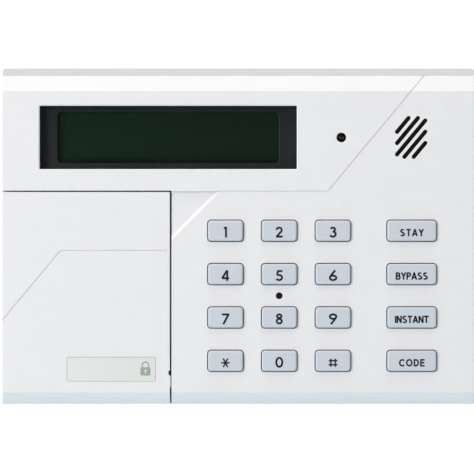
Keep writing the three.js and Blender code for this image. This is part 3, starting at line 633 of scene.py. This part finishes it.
D = 0.079  # half a digit's stroke
W = 0.087  # half a letter's stroke
SIX = [arc(0.395, 0.285, 0.3, 0.208, 0, 360, 36), [(0.6, 1.0), (0.42, 0.78), (0.24, 0.55), (0.125, 0.38)]]
S_CURVE = arc(0.335, 0.735, 0.215, 0.178, 35, 225, 16) + arc(0.335, 0.265, 0.245, 0.178, 45, -150, 18)
STEM = [(W, 0), (W, 1.0)]
GLYPHS = {
    "1": (0.26, [[(-0.02, 0.87), (0.18, 0.94)], [(0.18, 1), (0.18, 0)]]),
    "2": (0.68, [arc(0.33, 0.7, 0.235, 0.222, 180, -38) + [(0.09, D)], [(0.04, D), (0.66, D)]]),
    "3": (0.69, [arc(0.33, 0.74, 0.205, 0.182, 160, -92), arc(0.32, 0.312, 0.27, 0.235, 94, -158)]),
    "4": (0.72, [[(0.52, 1), (0.52, 0)], [(0.5, 0.97), (0.06, 0.26)], [(0.02, 0.25), (0.7, 0.25)]]),
    "5": (0.72, [
        [(0.66, 0.92), (0.22, 0.92)],
        [(0.25, 0.98), (0.15, 0.52)],
        arc(0.34, 0.312, 0.28, 0.235, 120, -152),
    ]),
    "6": (0.79, SIX),
    "7": (0.74, [[(0.03, 0.92), (0.72, 0.92)], [(0.67, 0.94), (0.17, 0)]]),
    "8": (0.63, [arc(0.315, 0.755, 0.2, 0.168, 0, 360, 32), arc(0.315, 0.29, 0.235, 0.212, 0, 360, 36)]),
    "9": (0.79, [[(0.79 - x, 1 - y) for x, y in stroke] for stroke in SIX]),
    "0": (0.72, [arc(0.36, 0.5, 0.28, 0.42, 0, 360, 40)]),
    "*": (0.8, [[(0, 0.45), (0.8, 0.45)], [(0.19, 0.86), (0.61, 0.04)], [(0.61, 0.86), (0.19, 0.04)]]),
    "#": (0.82, [[(x, 0.08), (x, 0.84)] for x in (0.2, 0.62)] + [[(0, y), (0.82, y)] for y in (0.27, 0.65)]),
    "S": (0.68, [S_CURVE]),
    "T": (0.64, [[(0, 1 - W), (0.64, 1 - W)], [(0.32, 0.97), (0.32, 0)]]),
    "A": (0.74, [[(0.06, 0), (0.38, 1)], [(0.68, 0), (0.36, 1)], [(0.17, 0.3), (0.57, 0.3)]]),
    "Y": (0.66, [[(0.05, 1), (0.34, 0.45)], [(0.61, 1), (0.32, 0.45)], [(0.33, 0.5), (0.33, 0)]]),
    "B": (0.66, [
        STEM,
        bowl(0.32, 0.7235, 0.19, 0.19, 1 - W, 0.5335),
        bowl(0.34, 0.3035, 0.235, 0.2165, 0.52, W),
    ]),
    "P": (0.62, [STEM, bowl(0.3, 0.695, 0.235, 0.218, 1 - W, 0.477)]),
    "I": (0.174, [STEM]),
    "N": (0.68, [STEM, [(0.1, 0.95), (0.58, 0.05)], [(0.593, 0), (0.593, 1)]]),
    "C": (0.78, [arc(0.44, 0.5, 0.355, 0.413, 42, 318, 30)]),
    "O": (0.88, [arc(0.44, 0.5, 0.353, 0.413, 0, 360, 44)]),
    "D": (0.7, [STEM, bowl(0.26, 0.5, 0.355, 0.413, 1 - W, W, 22)]),
    "E": (0.6, [STEM, [(0.05, 1 - W), (0.6, 1 - W)], [(0.05, 0.51), (0.56, 0.51)], [(0.05, W), (0.6, W)]]),
}


def ribbon(points, width, y0, y1):
    """A flat band of one width along a path in (x, z)."""
    closed = math.dist(points[0], points[-1]) < 1e-6
    path = [Vector(p) for p in (points[:-1] if closed else points)]
    loops = []
    for i, here in enumerate(path):
        before = path[i - 1] if closed or i else here
        after = path[(i + 1) % len(path)] if closed or i < len(path) - 1 else here
        into = (here - before).normalized() if here != before else (after - here).normalized()
        out = (after - here).normalized() if here != after else into
        tangent = (into + out).normalized()
        stretch = 1 / max(tangent.dot(into), 0.6)
        side = Vector((-tangent.y, tangent.x)) * width / 2 * stretch
        corners = ((here + side, y0), (here - side, y0), (here - side, y1), (here + side, y1))
        loops.append([(p.x, y, p.y) for p, y in corners])
    return loft(loops, closed)


def legend(text, height, width, stroke, face, drop):
    """Characters centred on a key, as one thin solid just proud of its face."""
    spacing = 0.0
    natural = sum(GLYPHS[c][0] for c in text)
    if len(text) > 1:
        spacing = (width / height - natural) / (len(text) - 1)
    pen = -(natural + spacing * (len(text) - 1)) / 2
    made = None
    for character in text:
        advance, strokes = GLYPHS[character]
        for number, path in enumerate(strokes):
            placed = [((pen + x) * height, (y - 0.5) * height - drop) for x, y in path]
            band = ribbon(placed, stroke, face - 0.02 - 0.0005 * number, face + 0.08)
            made = band if made is None else join(made, band)
        pen += advance + spacing
    return made


SIGNS = {"star": "*", "hash": "#"}
WORD_WIDTHS = {"STAY": 9.8, "BYPASS": 13.3, "INSTANT": 14.0, "CODE": 10.6}
WORD_HEIGHT, WORD_STROKE, WORD_DROP = 3.0, 0.66, 0.78
DIGIT_HEIGHT, DIGIT_STROKE, SIGN_STROKE, DIGIT_DROP = 4.45, 0.84, 0.62, 0.58


def key_legend(name, face):
    """The print on one key. It stands a little below the cap's middle."""
    text = SIGNS.get(name, name.upper())
    if text in WORD_WIDTHS:
        return legend(text, WORD_HEIGHT, WORD_WIDTHS[text], WORD_STROKE, face, WORD_DROP)
    return legend(text, DIGIT_HEIGHT, 0, SIGN_STROKE if name in SIGNS else DIGIT_STROKE, face, DIGIT_DROP)


# -------- materials


LEAD_PITCH = 2.54  # the usual spacing of leads and pads


class Shader:
    """A node material with a Principled surface and short ways to wire it."""

    def __init__(self, name):
        self.material = bpy.data.materials.new(name)
        self.material.use_nodes = True
        self.tree = self.material.node_tree
        self.surface = self.tree.nodes["Principled BSDF"]
        self.position = self.node("TexCoord").outputs["Object"]

    def feed(self, socket, value):
        """Gives a socket a link or a plain value."""
        if isinstance(value, bpy.types.NodeSocket):
            self.tree.links.new(value, socket)
        else:
            socket.default_value = value

    def node(self, kind, inputs=None, **settings):
        made = self.tree.nodes.new("ShaderNode" + kind)
        for key, value in settings.items():
            setattr(made, key, value)
        for key, value in (inputs or {}).items():
            self.feed(made.inputs[key], value)
        return made

    def set(self, **inputs):
        for key, value in inputs.items():
            self.feed(self.surface.inputs[key.replace("_", " ")], value)
        return self.material

    def along(self, axis):
        return self.node("SeparateXYZ", {"Vector": self.position}).outputs[axis]

    def noise(self, size_mm, detail=3.0):
        inputs = {"Vector": self.position, "Scale": 1 / (size_mm * MM), "Detail": detail, "Roughness": 0.55}
        return self.node("TexNoise", inputs).outputs["Fac"]

    def spread(self, value, low, high, start=0.0, end=1.0):
        inputs = {"Value": value, "From Min": start, "From Max": end, "To Min": low, "To Max": high}
        return self.node("MapRange", inputs).outputs["Result"]

    def patches(self, size_mm, low=0.0, high=1.0, detail=3.0):
        """Noise with its middle range spread from low to high."""
        return self.spread(self.noise(size_mm, detail), low, high, 0.3, 0.7)

    def mix(self, factor, a, b):
        return self.node("Mix", {0: factor, 6: a, 7: b}, data_type="RGBA").outputs[2]

    def math(self, operation, a, b=0.0):
        return self.node("Math", {0: a, 1: b}, operation=operation).outputs[0]

    def bump(self, height, distance_mm):
        inputs = {"Height": height, "Distance": distance_mm * MM, "Strength": 1.0}
        return self.node("Bump", inputs).outputs["Normal"]


def rgb(r, g, b):
    """A display colour, 0 to 255, as linear light."""
    shares = [c / 255 for c in (r, g, b)]
    return tuple(((c + 0.055) / 1.055) ** 2.4 if c > 0.04045 else c / 12.92 for c in shares) + (1.0,)


def tinted(colour, *shares, lift=0.0):
    """A colour with its channels multiplied, by one share or by three, and lifted."""
    return tuple(min(1.0, c * share + lift) for c, share in zip(colour[:3], shares * 3)) + (1.0,)


def moulded_plastic(name, colour, roughness, grain_mm=0.22, grain_depth=0.012, shade_and_dust=0.1):
    """Moulded plastic: fine grain, slight colour drift, crevices darkened by painted shade that also stands
    for dirt.
    """
    s = Shader(name)
    drift = s.mix(s.patches(38, detail=2), colour, tinted(colour, 1, 0.997, 0.985))
    flow = s.mix(s.spread(s.noise(6, 4), 0, 1, 0.35, 0.75), drift, tinted(colour, 0.98))
    # Painted shade: ambient occlusion darkens crevices, gaps and grooves toward a warm dark tone; the same
    # darkening also stands for dirt settled there.
    open_air = s.node("AmbientOcclusion", {"Distance": 1.6 * MM}, samples=6).outputs["AO"]
    shade_and_dust_mask = s.spread(open_air, shade_and_dust, 0, 0.25, 0.9)
    s.set(Base_Color=s.mix(shade_and_dust_mask, flow, tinted(colour, 0.56, 0.53, 0.48)))
    s.set(Roughness=s.patches(9, roughness - 0.05, roughness + 0.06))
    grain = s.math("ADD", s.noise(grain_mm, 2), s.math("MULTIPLY", s.noise(grain_mm * 7, 2), 0.35))
    return s.set(Normal=s.bump(grain, grain_depth), IOR=1.5)


def bevelled(s, radius_mm=0.15):
    return s.node("Bevel", {"Radius": radius_mm * MM}, samples=4).outputs["Normal"]


def simple_finish(name, colour, roughness, metallic=0.0, grain_mm=0.4):
    """Even colour with a little variation, softened edges."""
    s = Shader(name)
    s.set(Base_Color=s.mix(s.patches(grain_mm * 6), colour, tinted(colour, 0.88)), Metallic=metallic)
    s.set(Roughness=s.patches(grain_mm * 3, roughness - 0.07, roughness + 0.07))
    grain = {"Height": s.noise(grain_mm), "Distance": 0.01 * MM, "Normal": bevelled(s)}
    return s.set(Normal=s.node("Bump", grain).outputs["Normal"])


def clear_acrylic():
    """Lets light straight through and mirrors a little at its surface."""
    s = Shader("clear_acrylic")
    haze = s.patches(1.5, 0.02, 0.07, 4)
    fresnel = s.node("Fresnel", {"IOR": 1.49}).outputs["Fac"]
    shadow = s.node("LightPath").outputs["Is Shadow Ray"]
    mirror = s.math("MULTIPLY", fresnel, s.math("SUBTRACT", 1.0, shadow))
    clear = s.node("BsdfTransparent", {"Color": (0.97, 0.985, 0.98, 1)}).outputs[0]
    gloss = s.node("BsdfAnisotropic", {"Color": (1, 1, 1, 1), "Roughness": haze}).outputs[0]
    blend = s.node("MixShader", {0: mirror, 1: clear, 2: gloss})
    s.tree.links.new(blend.outputs[0], s.tree.nodes["Material Output"].inputs["Surface"])
    return s.material


def lcd_cell():
    """Dark green display, in shadow along its left and lower edges."""
    s = Shader("lcd_cell")
    low, high = cad("lcd_glass")
    x, z = centre_xz("lcd_glass")
    across = s.spread(s.along("X"), 0, 1, low.x * MM, high.x * MM)
    left_right = s.mix(across, rgb(26, 50, 34), rgb(23, 40, 26))
    cloud = s.mix(s.patches(40, 0, 0.5, 2), left_right, rgb(22, 45, 31))
    from_left = s.spread(s.along("X"), 0.15, 1, (x - 46.1) * MM, (x - 43.2) * MM)
    from_foot = s.spread(s.along("Z"), 0.15, 1, (z - 10.6) * MM, (z - 7.4) * MM)
    s.set(Base_Color=s.mix(s.math("MULTIPLY", from_left, from_foot), rgb(8, 13, 9), cloud))
    return s.set(Roughness=s.patches(3, 0.1, 0.2), Coat_Weight=0.2, Coat_Roughness=0.05)


def circuit_board():
    """Green solder mask over copper tracks, with tinned pads."""
    s = Shader("circuit_board")
    flat = s.node("Mapping", {"Vector": s.position, "Rotation": (math.pi / 2, 0, 0)}).outputs[0]
    inputs = {"Vector": flat, "Scale": 1.0, "Mortar Size": 0.5 * MM, "Mortar Smooth": 0.1}
    inputs.update({"Brick Width": 5 * LEAD_PITCH * MM, "Row Height": LEAD_PITCH * MM})
    tracks = s.node("TexBrick", inputs, offset=0.37).outputs["Fac"]
    dots = {"Vector": flat, "Scale": 190.0, "Randomness": 0.6}
    pad = s.spread(s.node("TexVoronoi", dots).outputs["Distance"], 1, 0, 0.1, 0.14)
    mask = s.mix(s.patches(2.5), rgb(24, 92, 48), rgb(18, 78, 40))
    tracked = s.mix(tracks, mask, rgb(44, 124, 62))
    s.set(Base_Color=s.mix(pad, tracked, rgb(196, 198, 196)), Metallic=s.math("MULTIPLY", pad, 0.85))
    s.set(Roughness=s.patches(1.2, 0.24, 0.4))
    return s.set(Normal=s.bump(s.math("ADD", tracks, pad), 0.035))


def brushed_plate():
    """Satin silver, a little green to the right, brushed along X."""
    s = Shader("brushed_plate")
    low, high = cad("nameplate")
    stretch = s.node("Mapping", {"Vector": s.position, "Scale": (40, 900, 6000)}).outputs[0]
    brush = s.node("TexNoise", {"Vector": stretch, "Scale": 1.0, "Detail": 3.0}).outputs["Fac"]
    across = s.spread(s.along("X"), 0, 1, low.x * MM, high.x * MM)
    base = s.mix(across, rgb(243, 243, 238), rgb(234, 238, 232))
    s.set(Base_Color=s.mix(s.spread(brush, 0, 0.5, 0.3, 0.7), base, rgb(230, 233, 227)))
    return s.set(Metallic=0.04, Roughness=s.spread(brush, 0.34, 0.5, 0.3, 0.7), Normal=s.bump(brush, 0.004))


def printed_card():
    """Laminated paper with a faint fibre texture."""
    s = Shader("printed_card")
    weave = {"Vector": s.position, "Scale": 2500.0, "Detail": 5.0, "Distortion": 1.2}
    fibres = s.node("TexNoise", weave).outputs["Fac"]
    s.set(Base_Color=s.mix(s.spread(fibres, 0, 1, 0.3, 0.7), rgb(247, 245, 238), rgb(240, 238, 229)))
    s.set(Roughness=s.spread(fibres, 0.45, 0.6), Coat_Weight=0.25, Coat_Roughness=0.2)
    return s.set(Normal=s.bump(fibres, 0.006))


def tinted_epoxy():
    """The unlit LED's dark red resin."""
    s = Shader("tinted_epoxy")
    s.set(Base_Color=s.mix(s.patches(1.2), rgb(30, 5, 8), rgb(20, 3, 5)))
    s.set(Roughness=s.patches(0.6, 0.1, 0.2), Transmission_Weight=0.35, IOR=1.54, Coat_Weight=0.1)
    return s.set(Normal=s.bump(s.noise(0.9), 0.003))


def ink(name, colour, roughness=0.55):
    """Pad-printed ink, slightly mottled."""
    s = Shader(name)
    thin = tinted(colour, 1.5, lift=0.004)
    s.set(Base_Color=s.mix(s.spread(s.noise(0.5, 4), 0, 0.5, 0.45, 0.8), colour, thin))
    s.set(Roughness=s.patches(0.3, roughness - 0.08, roughness + 0.08))
    return s.set(Normal=s.bump(s.noise(0.12), 0.004))


def rubber(name, colour):
    """Matt rubber or soft plastic, with a bloom on it."""
    s = Shader(name)
    s.set(Base_Color=s.mix(s.spread(s.noise(3, 4), 0, 1, 0.3, 0.75), colour, tinted(colour, 1.2)))
    return s.set(Roughness=s.patches(1, 0.62, 0.8), Sheen_Weight=0.15, Normal=s.bump(s.noise(0.25), 0.012))


def ribbon_cable():
    """Grey flat cable, one ridge to each half pitch, with painted light on the crests and painted shade in
    the valleys.
    """
    s = Shader("ribbon_cable")
    wave = s.math("SINE", s.math("MULTIPLY", s.along("Z"), 4 * math.pi / (LEAD_PITCH * MM)))
    # Painted shade: the colour follows the ridge wave, pale on the crests and dark in the valleys between
    # them.
    s.set(Base_Color=s.mix(s.spread(wave, 0, 1, -1, 1), rgb(120, 123, 128), rgb(176, 178, 182)))
    return s.set(Roughness=s.spread(s.noise(1), 0.4, 0.55), Normal=s.bump(wave, 0.12))


def striped_can():
    """The capacitor's dark sleeve, with one pale stripe."""
    s = Shader("striped_can")
    x, _ = centre_xz("filter_capacitor")
    stripe = s.math("GREATER_THAN", s.along("X"), (x + 2.9) * MM)
    base = s.mix(s.patches(1), rgb(24, 26, 44), rgb(32, 34, 56))
    s.set(Base_Color=s.mix(stripe, base, rgb(186, 190, 196)), Roughness=s.spread(s.noise(0.7), 0.25, 0.38))
    return s.set(Normal=bevelled(s, 0.3))


# The last argument of moulded_plastic sets how much crevices darken: painted shade, which also stands for
# dirt.
CASING = moulded_plastic("casing_abs", (0.885, 0.885, 0.895, 1), 0.5)
TRAY = moulded_plastic("tray_abs", (0.84, 0.84, 0.86, 1), 0.55, grain_mm=0.35, grain_depth=0.02)
KEYCAP = moulded_plastic("keycap", (0.655, 0.70, 0.76, 1), 0.4, grain_mm=0.3, grain_depth=0.004, shade_and_dust=0.25)
PRINT = ink("legend_ink", rgb(10, 11, 14))
EMBLEM = ink("emblem_ink", rgb(158, 172, 156), 0.45)
CARD_INK = ink("card_ink", rgb(70, 84, 100))
BEZEL = moulded_plastic("bezel_paint", rgb(36, 40, 44), 0.42, grain_mm=0.3, grain_depth=0.006, shade_and_dust=0.0)
STEEL = simple_finish("zinc_steel", (0.62, 0.63, 0.65, 1), 0.32, metallic=1.0, grain_mm=0.5)
BLACK = simple_finish("black_plastic", (0.008, 0.008, 0.009, 1), 0.5)
NYLON = simple_finish("nylon", (0.80, 0.78, 0.70, 1), 0.45)
FELT = rubber("dark_felt", rgb(68, 60, 52))

# -------- placing pieces


def dress(obj, material):
    obj.data.materials.clear()
    obj.data.materials.append(material)


def weigh_normals(obj, weight=100):
    modifier = obj.modifiers.new("weighted_normals", "WEIGHTED_NORMAL")
    modifier.keep_sharp = True
    modifier.weight = weight


def finish_mesh(obj, material, sharp_degrees=32):
    """Scales the mesh to metres, smooths it between its sharp edges and gives it its material."""
    obj.data.transform(Matrix.Scale(MM, 4))
    obj.data.shade_smooth()
    obj.data.set_sharp_from_angle(angle=math.radians(sharp_degrees))
    weigh_normals(obj)
    dress(obj, material)


def add_piece(obj, name, material, body, stands_for=(), sharp_degrees=32):
    obj.name = name
    obj.data.name = name
    finish_mesh(obj, material, sharp_degrees)
    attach(obj, body)
    if stands_for:
        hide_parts(*stands_for)
    return obj


PADLOCK_RIGHT, PADLOCK_DROP = 14.2, 0.9  # the padlock's place, from the plate's middle
SHACKLE = 1.3  # radius of its bow

add_piece(front_cover(), "cover_moulding", CASING, "case", ["front_cover"])
add_piece(rear_tray(), "tray_moulding", TRAY, "case", ["rear_tray"])
add_piece(door_shell(), "door_moulding", CASING, "door", ["door_panel"])


def padlock():
    """A small closed padlock at the plate's right."""
    face = cad("nameplate")[0].y
    x, z = centre_xz("nameplate")
    x, z = x + PADLOCK_RIGHT, z - PADLOCK_DROP
    body = prism(rounded_box(x, z, 4.2, 3.4, 0.5), face - 0.03, face + 0.1)
    keyhole = join(
        prism(circle(x, z + 0.35, 0.5, 24), face - 1, face + 1),
        prism(rounded_box(x, z - 0.35, 0.4, 1.3, 0.1), face - 1.1, face + 1.1),
    )
    cut(body, keyhole)
    bow = [(x - SHACKLE, z + 1.5)] + arc(x, z + 2.6, -SHACKLE, SHACKLE, 0, 180) + [(x + SHACKLE, z + 1.5)]
    return join(body, ribbon(bow, 0.55, face - 0.0305, face + 0.1))


plate = sheet("nameplate", 0.45, 0.08, 4)
add_piece(plate, "nameplate_plate", brushed_plate(), "door", ["nameplate"])
add_piece(padlock(), "nameplate_padlock", EMBLEM, "door")

# Each key rides on a body named like its node. Caps with a word share a mesh, and so do the others.
cap_meshes = {}
for node in KEY_NODES:
    name = node.removeprefix("key_")
    kind = "word" if name.upper() in WORD_WIDTHS else "sign"
    x, z = centre_xz(node)
    if kind not in cap_meshes:
        cap = key_cap(node)
        finish_mesh(cap, KEYCAP, 40)
        cap_meshes[kind] = cap.data
    else:
        cap = link(node, cap_meshes[kind])
        weigh_normals(cap, 50)
    cap.name = "cap_" + name
    cap.location = (x * MM, 0, z * MM)
    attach(cap, node)
    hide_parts(node)
    letters = key_legend(name, cad(node)[0].y)
    letters.data.transform(Matrix.Translation((x, 0, z)))
    add_piece(letters, "legend_" + name, PRINT, node)

# -------- display, LED, microphone


GLASS_SEAT = (108.4, 28.9)  # the recess behind the frame's face that holds the glass


def display_bezel():
    """The black metal frame of the display."""
    low, high = cad("lcd_frame")
    outline = rounded_box(WINDOW_X, WINDOW_Z, high.x - low.x, high.z - low.z, 1)
    plate = eased(outline, 0.3, low.y, high.y)
    cut(plate, prism(rounded_box(WINDOW_X, WINDOW_Z, *GLASS_SEAT, 0.5), low.y + 0.8, high.y + 1))
    return cut(plate, flared(rounded_box(WINDOW_X, WINDOW_Z, *VIEW_SIZE, 1.6), 0.35, low.y, low.y + 3))


add_piece(display_bezel(), "display_bezel", BEZEL, "case", ["lcd_frame"])


def turned(x, z, profile, sides=48):
    """A solid turned about an axis along Y, with flat ends. The profile is (depth, radius)."""
    return loft([[(px, y, pz) for px, pz in circle(x, z, r, sides)()] for y, r in profile])


def led_dome():
    """A 3 mm LED: a dome, its barrel and the rim at its foot."""
    low, high = cad("armed_led")
    radius, rim = 1.5, 1.85
    dome = [(low.y + radius * (1 - math.sin(t)), radius * math.cos(t)) for t in np.linspace(1.5, 0, 9)]
    return turned(LED_X, LED_Z, dome + [(high.y - 0.8, radius), (high.y - 0.78, rim), (high.y, rim)])


def microphone_can():
    low, high = cad("microphone")
    side = [(low.y, 2.6), (low.y + 0.12, 2.85), (low.y + 0.35, 3.0), (high.y, 3.0)]
    seat = [(low.y - 1, 1.9), (low.y + 0.3, 1.9)]
    return cut(turned(MIC_X, MIC_Z, side), turned(MIC_X, MIC_Z, seat))


def microphone_felt():
    front = cad("microphone")[0].y
    return turned(MIC_X, MIC_Z, [(front + 0.02, 0.9), (front + 0.06, 1.5), (front + 0.25, 1.75)])


def sounder_can():
    """A buzzer: a stepped can with its cone set back inside."""
    low, high = cad("sounder")
    side = [(low.y, 10.9), (low.y + 0.15, 11.3), (low.y + 0.5, 11.6)]
    foot = [(high.y - 1.4, 11.6), (high.y - 1.3, 11.2), (high.y, 11.2)]
    mouth = [(low.y - 1, 8.5), (low.y + 0.9, 8.3), (low.y + 1.2, 2.5)]
    can = turned(GRILLE_X, GRILLE_Z, side + foot, 72)
    return cut(can, turned(GRILLE_X, GRILLE_Z, mouth, 72))


add_piece(led_dome(), "led_dome", tinted_epoxy(), "case", ["armed_led"])
add_piece(microphone_can(), "microphone_can", BLACK, "case", ["microphone"])
add_piece(microphone_felt(), "microphone_felt", FELT, "case")
add_piece(sounder_can(), "sounder_can", BLACK, "case", ["sounder"])

# -------- instruction card behind the door


def card_print():
    """A heading bar, a table of empty boxes and ruled lines."""
    low, high = cad("instruction_card")
    face = low.y
    y0, y1 = face - 0.02, face + 0.06
    left, right = low.x + 4, high.x - 4
    rows, row_height, columns, half = 5, 5, 4, 0.12  # the table, and half its lines' width
    table_top = high.z - 14
    made = block(left, right, y0, y1, high.z - 9, high.z - 4.5)
    for row in range(rows + 1):
        z = table_top - row * row_height
        join(made, block(left, right, y0, y1, z - half, z + half))
    foot, head = table_top - rows * row_height - 0.1, table_top + 0.1
    for column in range(columns + 1):
        x = left + (right - left - 2 * half) * column / columns
        join(made, block(x, x + 2 * half, y0 - SLIVER / 2, y1, foot, head))
    for row in range(3):
        z = high.z - 43.5 - row * 4
        join(made, block(left, right - row * 9, y0, y1, z - 0.18, z + 0.18))
    return made


card = sheet("instruction_card", 1.5, 0.05, 2)
add_piece(card, "card_sheet", printed_card(), "case", ["instruction_card"])
add_piece(card_print(), "card_print", CARD_INK, "case")

# -------- wires


def tube(points, radius, sides=20, per_span=10):
    """A smooth round wire through the points, along a Catmull-Rom curve."""
    path = [Vector(p) for p in points]
    ends = [path[0] * 2 - path[1]] + path + [path[-1] * 2 - path[-2]]
    line = []
    for a, b, c, d in zip(ends, ends[1:], ends[2:], ends[3:]):
        bend, twist = 2 * a - 5 * b + 4 * c - d, 3 * b - a - 3 * c + d
        for k in range(per_span):
            t = k / per_span
            line.append(0.5 * (2 * b + (c - a) * t + bend * t**2 + twist * t**3))
    line.append(path[-1])
    side = Vector((1, 0, 0))
    loops = []
    for i, here in enumerate(line):
        ahead = (line[min(i + 1, len(line) - 1)] - line[max(i - 1, 0)]).normalized()
        side = (side - ahead * side.dot(ahead)).normalized()
        up = ahead.cross(side)
        loops.append([here + side * a + up * b for a, b in circle(0, 0, radius, sides)()])
    return loft(loops)


WIRES = {"red": (170, 34, 30), "black": (30, 30, 32), "green": (38, 120, 56), "yellow": (216, 178, 40)}
WIRE_PITCH, WIRE_RADIUS = 3.0, 0.72
WIRE_START = cad("wire_plug")[1].y + 0.95
PLUG_Z = centre_xz("wire_plug")[1]
for index, (name, colour) in enumerate(WIRES.items()):
    x = (index - 1.5) * WIRE_PITCH
    route = [(x, WIRE_START, 0), (x, WIRE_START + 2, 2.5), (x * 0.95, -6.6, 10)]
    route += [(x * 0.85, -6.4, 18), (x * 0.8, -4.2, 25), (x * 0.8, -0.6, 27)]
    wire = tube([(x, y, PLUG_Z + rise) for x, y, rise in route], WIRE_RADIUS)
    sleeve = rubber("sleeve_" + name, rgb(*colour))
    add_piece(wire, "sleeve_" + name, sleeve, "case", ["wire_" + name], 60)

# -------- CAD pieces that stay, with their materials

# The main board is not listed: it keeps its plain CAD green.
CARRIED = {
    "keypad_mat": rubber("silicone", rgb(150, 154, 158)),
    "display_lens": clear_acrylic(),
    "lcd_glass": lcd_cell(),
    "lcd_board": circuit_board(),
    "lcd_ribbon_cable": ribbon_cable(),
    "led_spacer": BLACK,
    "controller_chip": BLACK,
    "filter_capacitor": striped_can(),
    "wire_header": NYLON,
    "wire_plug": NYLON,
}
for name, obj in frame["nodes"].items():
    material = STEEL if "screw" in name else CARRIED.get(name)
    if material and not obj.hide_render:
        dress(obj, material)

# -------- floor, light and camera


FLOOR_Z, FLOOR_EXTENT = -1.1, (-3.0, 3.0, -3.4, 2.6)  # metres; (x0, x1, y0, y1)
WHITE = (1, 1, 1, 1)
BACKDROP = 1.05  # the plain white behind the object
AMBIENT, AMBIENT_TINT = 0.416, (1, 0.96, 0.952, 1)
MIRRORED = 0.03  # what polished surfaces reflect: a darkened studio
# Lamps aimed at the panel: name, place, size, colour, watts.
LAMPS = [
    ("key", (-1.5, -1.6, 0.6), (0.7, 0.7), (1.0, 0.955, 0.945), 26.5),
    ("overhead", (0.1, -0.5, 1.6), (1.6, 1.0), (0.965, 0.98, 1.0), 12.5),
    ("low_fill", (-0.2, -0.4, -0.9), (1.4, 0.3), (0, 0.74, 1.0), 1.9),
    ("rear_left", (-1.0, 1.7, 0.1), (0.9, 0.9), (1.0, 0.99, 0.98), 7.5),
    ("rear_right", (1.0, 1.7, 0.1), (0.9, 0.9), (1.0, 0.99, 0.98), 7.5),
]


def floor():
    mesh = bpy.data.meshes.new("floor")
    x0, x1, y0, y1 = FLOOR_EXTENT
    corners = [(x0, y0, FLOOR_Z), (x1, y0, FLOOR_Z), (x1, y1, FLOOR_Z), (x0, y1, FLOOR_Z)]
    mesh.from_pydata(corners, [], [(0, 1, 2, 3)])
    s = Shader("floor_paint")
    tone = s.mix(s.noise(60), (0.86, 0.87, 0.88, 1), (0.83, 0.84, 0.85, 1))
    seen = s.math("MULTIPLY", s.node("LightPath").outputs["Is Camera Ray"], 0.3)
    s.set(Base_Color=tone, Roughness=0.75, Emission_Color=tone, Emission_Strength=seen)
    mesh.materials.append(s.material)
    link("floor", mesh)


def lamp(name, place, size, colour, watts):
    data = bpy.data.lights.new(name, "AREA")
    data.shape = "RECTANGLE"
    data.size, data.size_y = size
    data.energy = watts
    data.color = colour
    made = link(name, data)
    made.location = place
    made.rotation_euler = (-Vector(place)).to_track_quat("-Z", "Y").to_euler()


def world():
    """White behind the object, an even light on it, and a darker room in its polished surfaces."""
    made = bpy.data.worlds.new("studio")
    bpy.context.scene.world = made
    made.use_nodes = True
    nodes, links = made.node_tree.nodes, made.node_tree.links
    nodes.clear()
    ray = nodes.new("ShaderNodeLightPath")

    def background(colour, strength):
        node = nodes.new("ShaderNodeBackground")
        node.inputs["Color"].default_value = colour
        node.inputs["Strength"].default_value = strength
        return node.outputs[0]

    def choose(kind_of_ray, other, chosen):
        node = nodes.new("ShaderNodeMixShader")
        for socket, value in zip(node.inputs, (ray.outputs[kind_of_ray], other, chosen)):
            links.new(value, socket)
        return node.outputs[0]

    room = choose("Is Glossy Ray", background(AMBIENT_TINT, AMBIENT), background(WHITE, MIRRORED))
    seen = choose("Is Camera Ray", room, background(WHITE, BACKDROP))
    links.new(seen, nodes.new("ShaderNodeOutputWorld").inputs["Surface"])


floor()
world()
for values in LAMPS:
    lamp(*values)

CAMERA_DISTANCE = 2.0  # metres from the front face
VIEW_WIDTH = 0.1975  # metres across the picture at the front face
CAMERA_X, CAMERA_Z = -0.0006, -0.0008
SENSOR = 36.0
camera_data = bpy.data.cameras.new("camera")
camera_data.sensor_width = SENSOR
camera_data.lens = SENSOR * CAMERA_DISTANCE / VIEW_WIDTH
camera_data.clip_start, camera_data.clip_end = 0.1, 20
camera = link("camera", camera_data)
camera.location = (CAMERA_X, FRONT * MM - CAMERA_DISTANCE, CAMERA_Z)
camera.rotation_euler = (math.pi / 2, 0, 0)
bpy.context.scene.camera = camera
bpy.context.scene.view_settings.view_transform = "Standard"

bpy.context.view_layer.update()
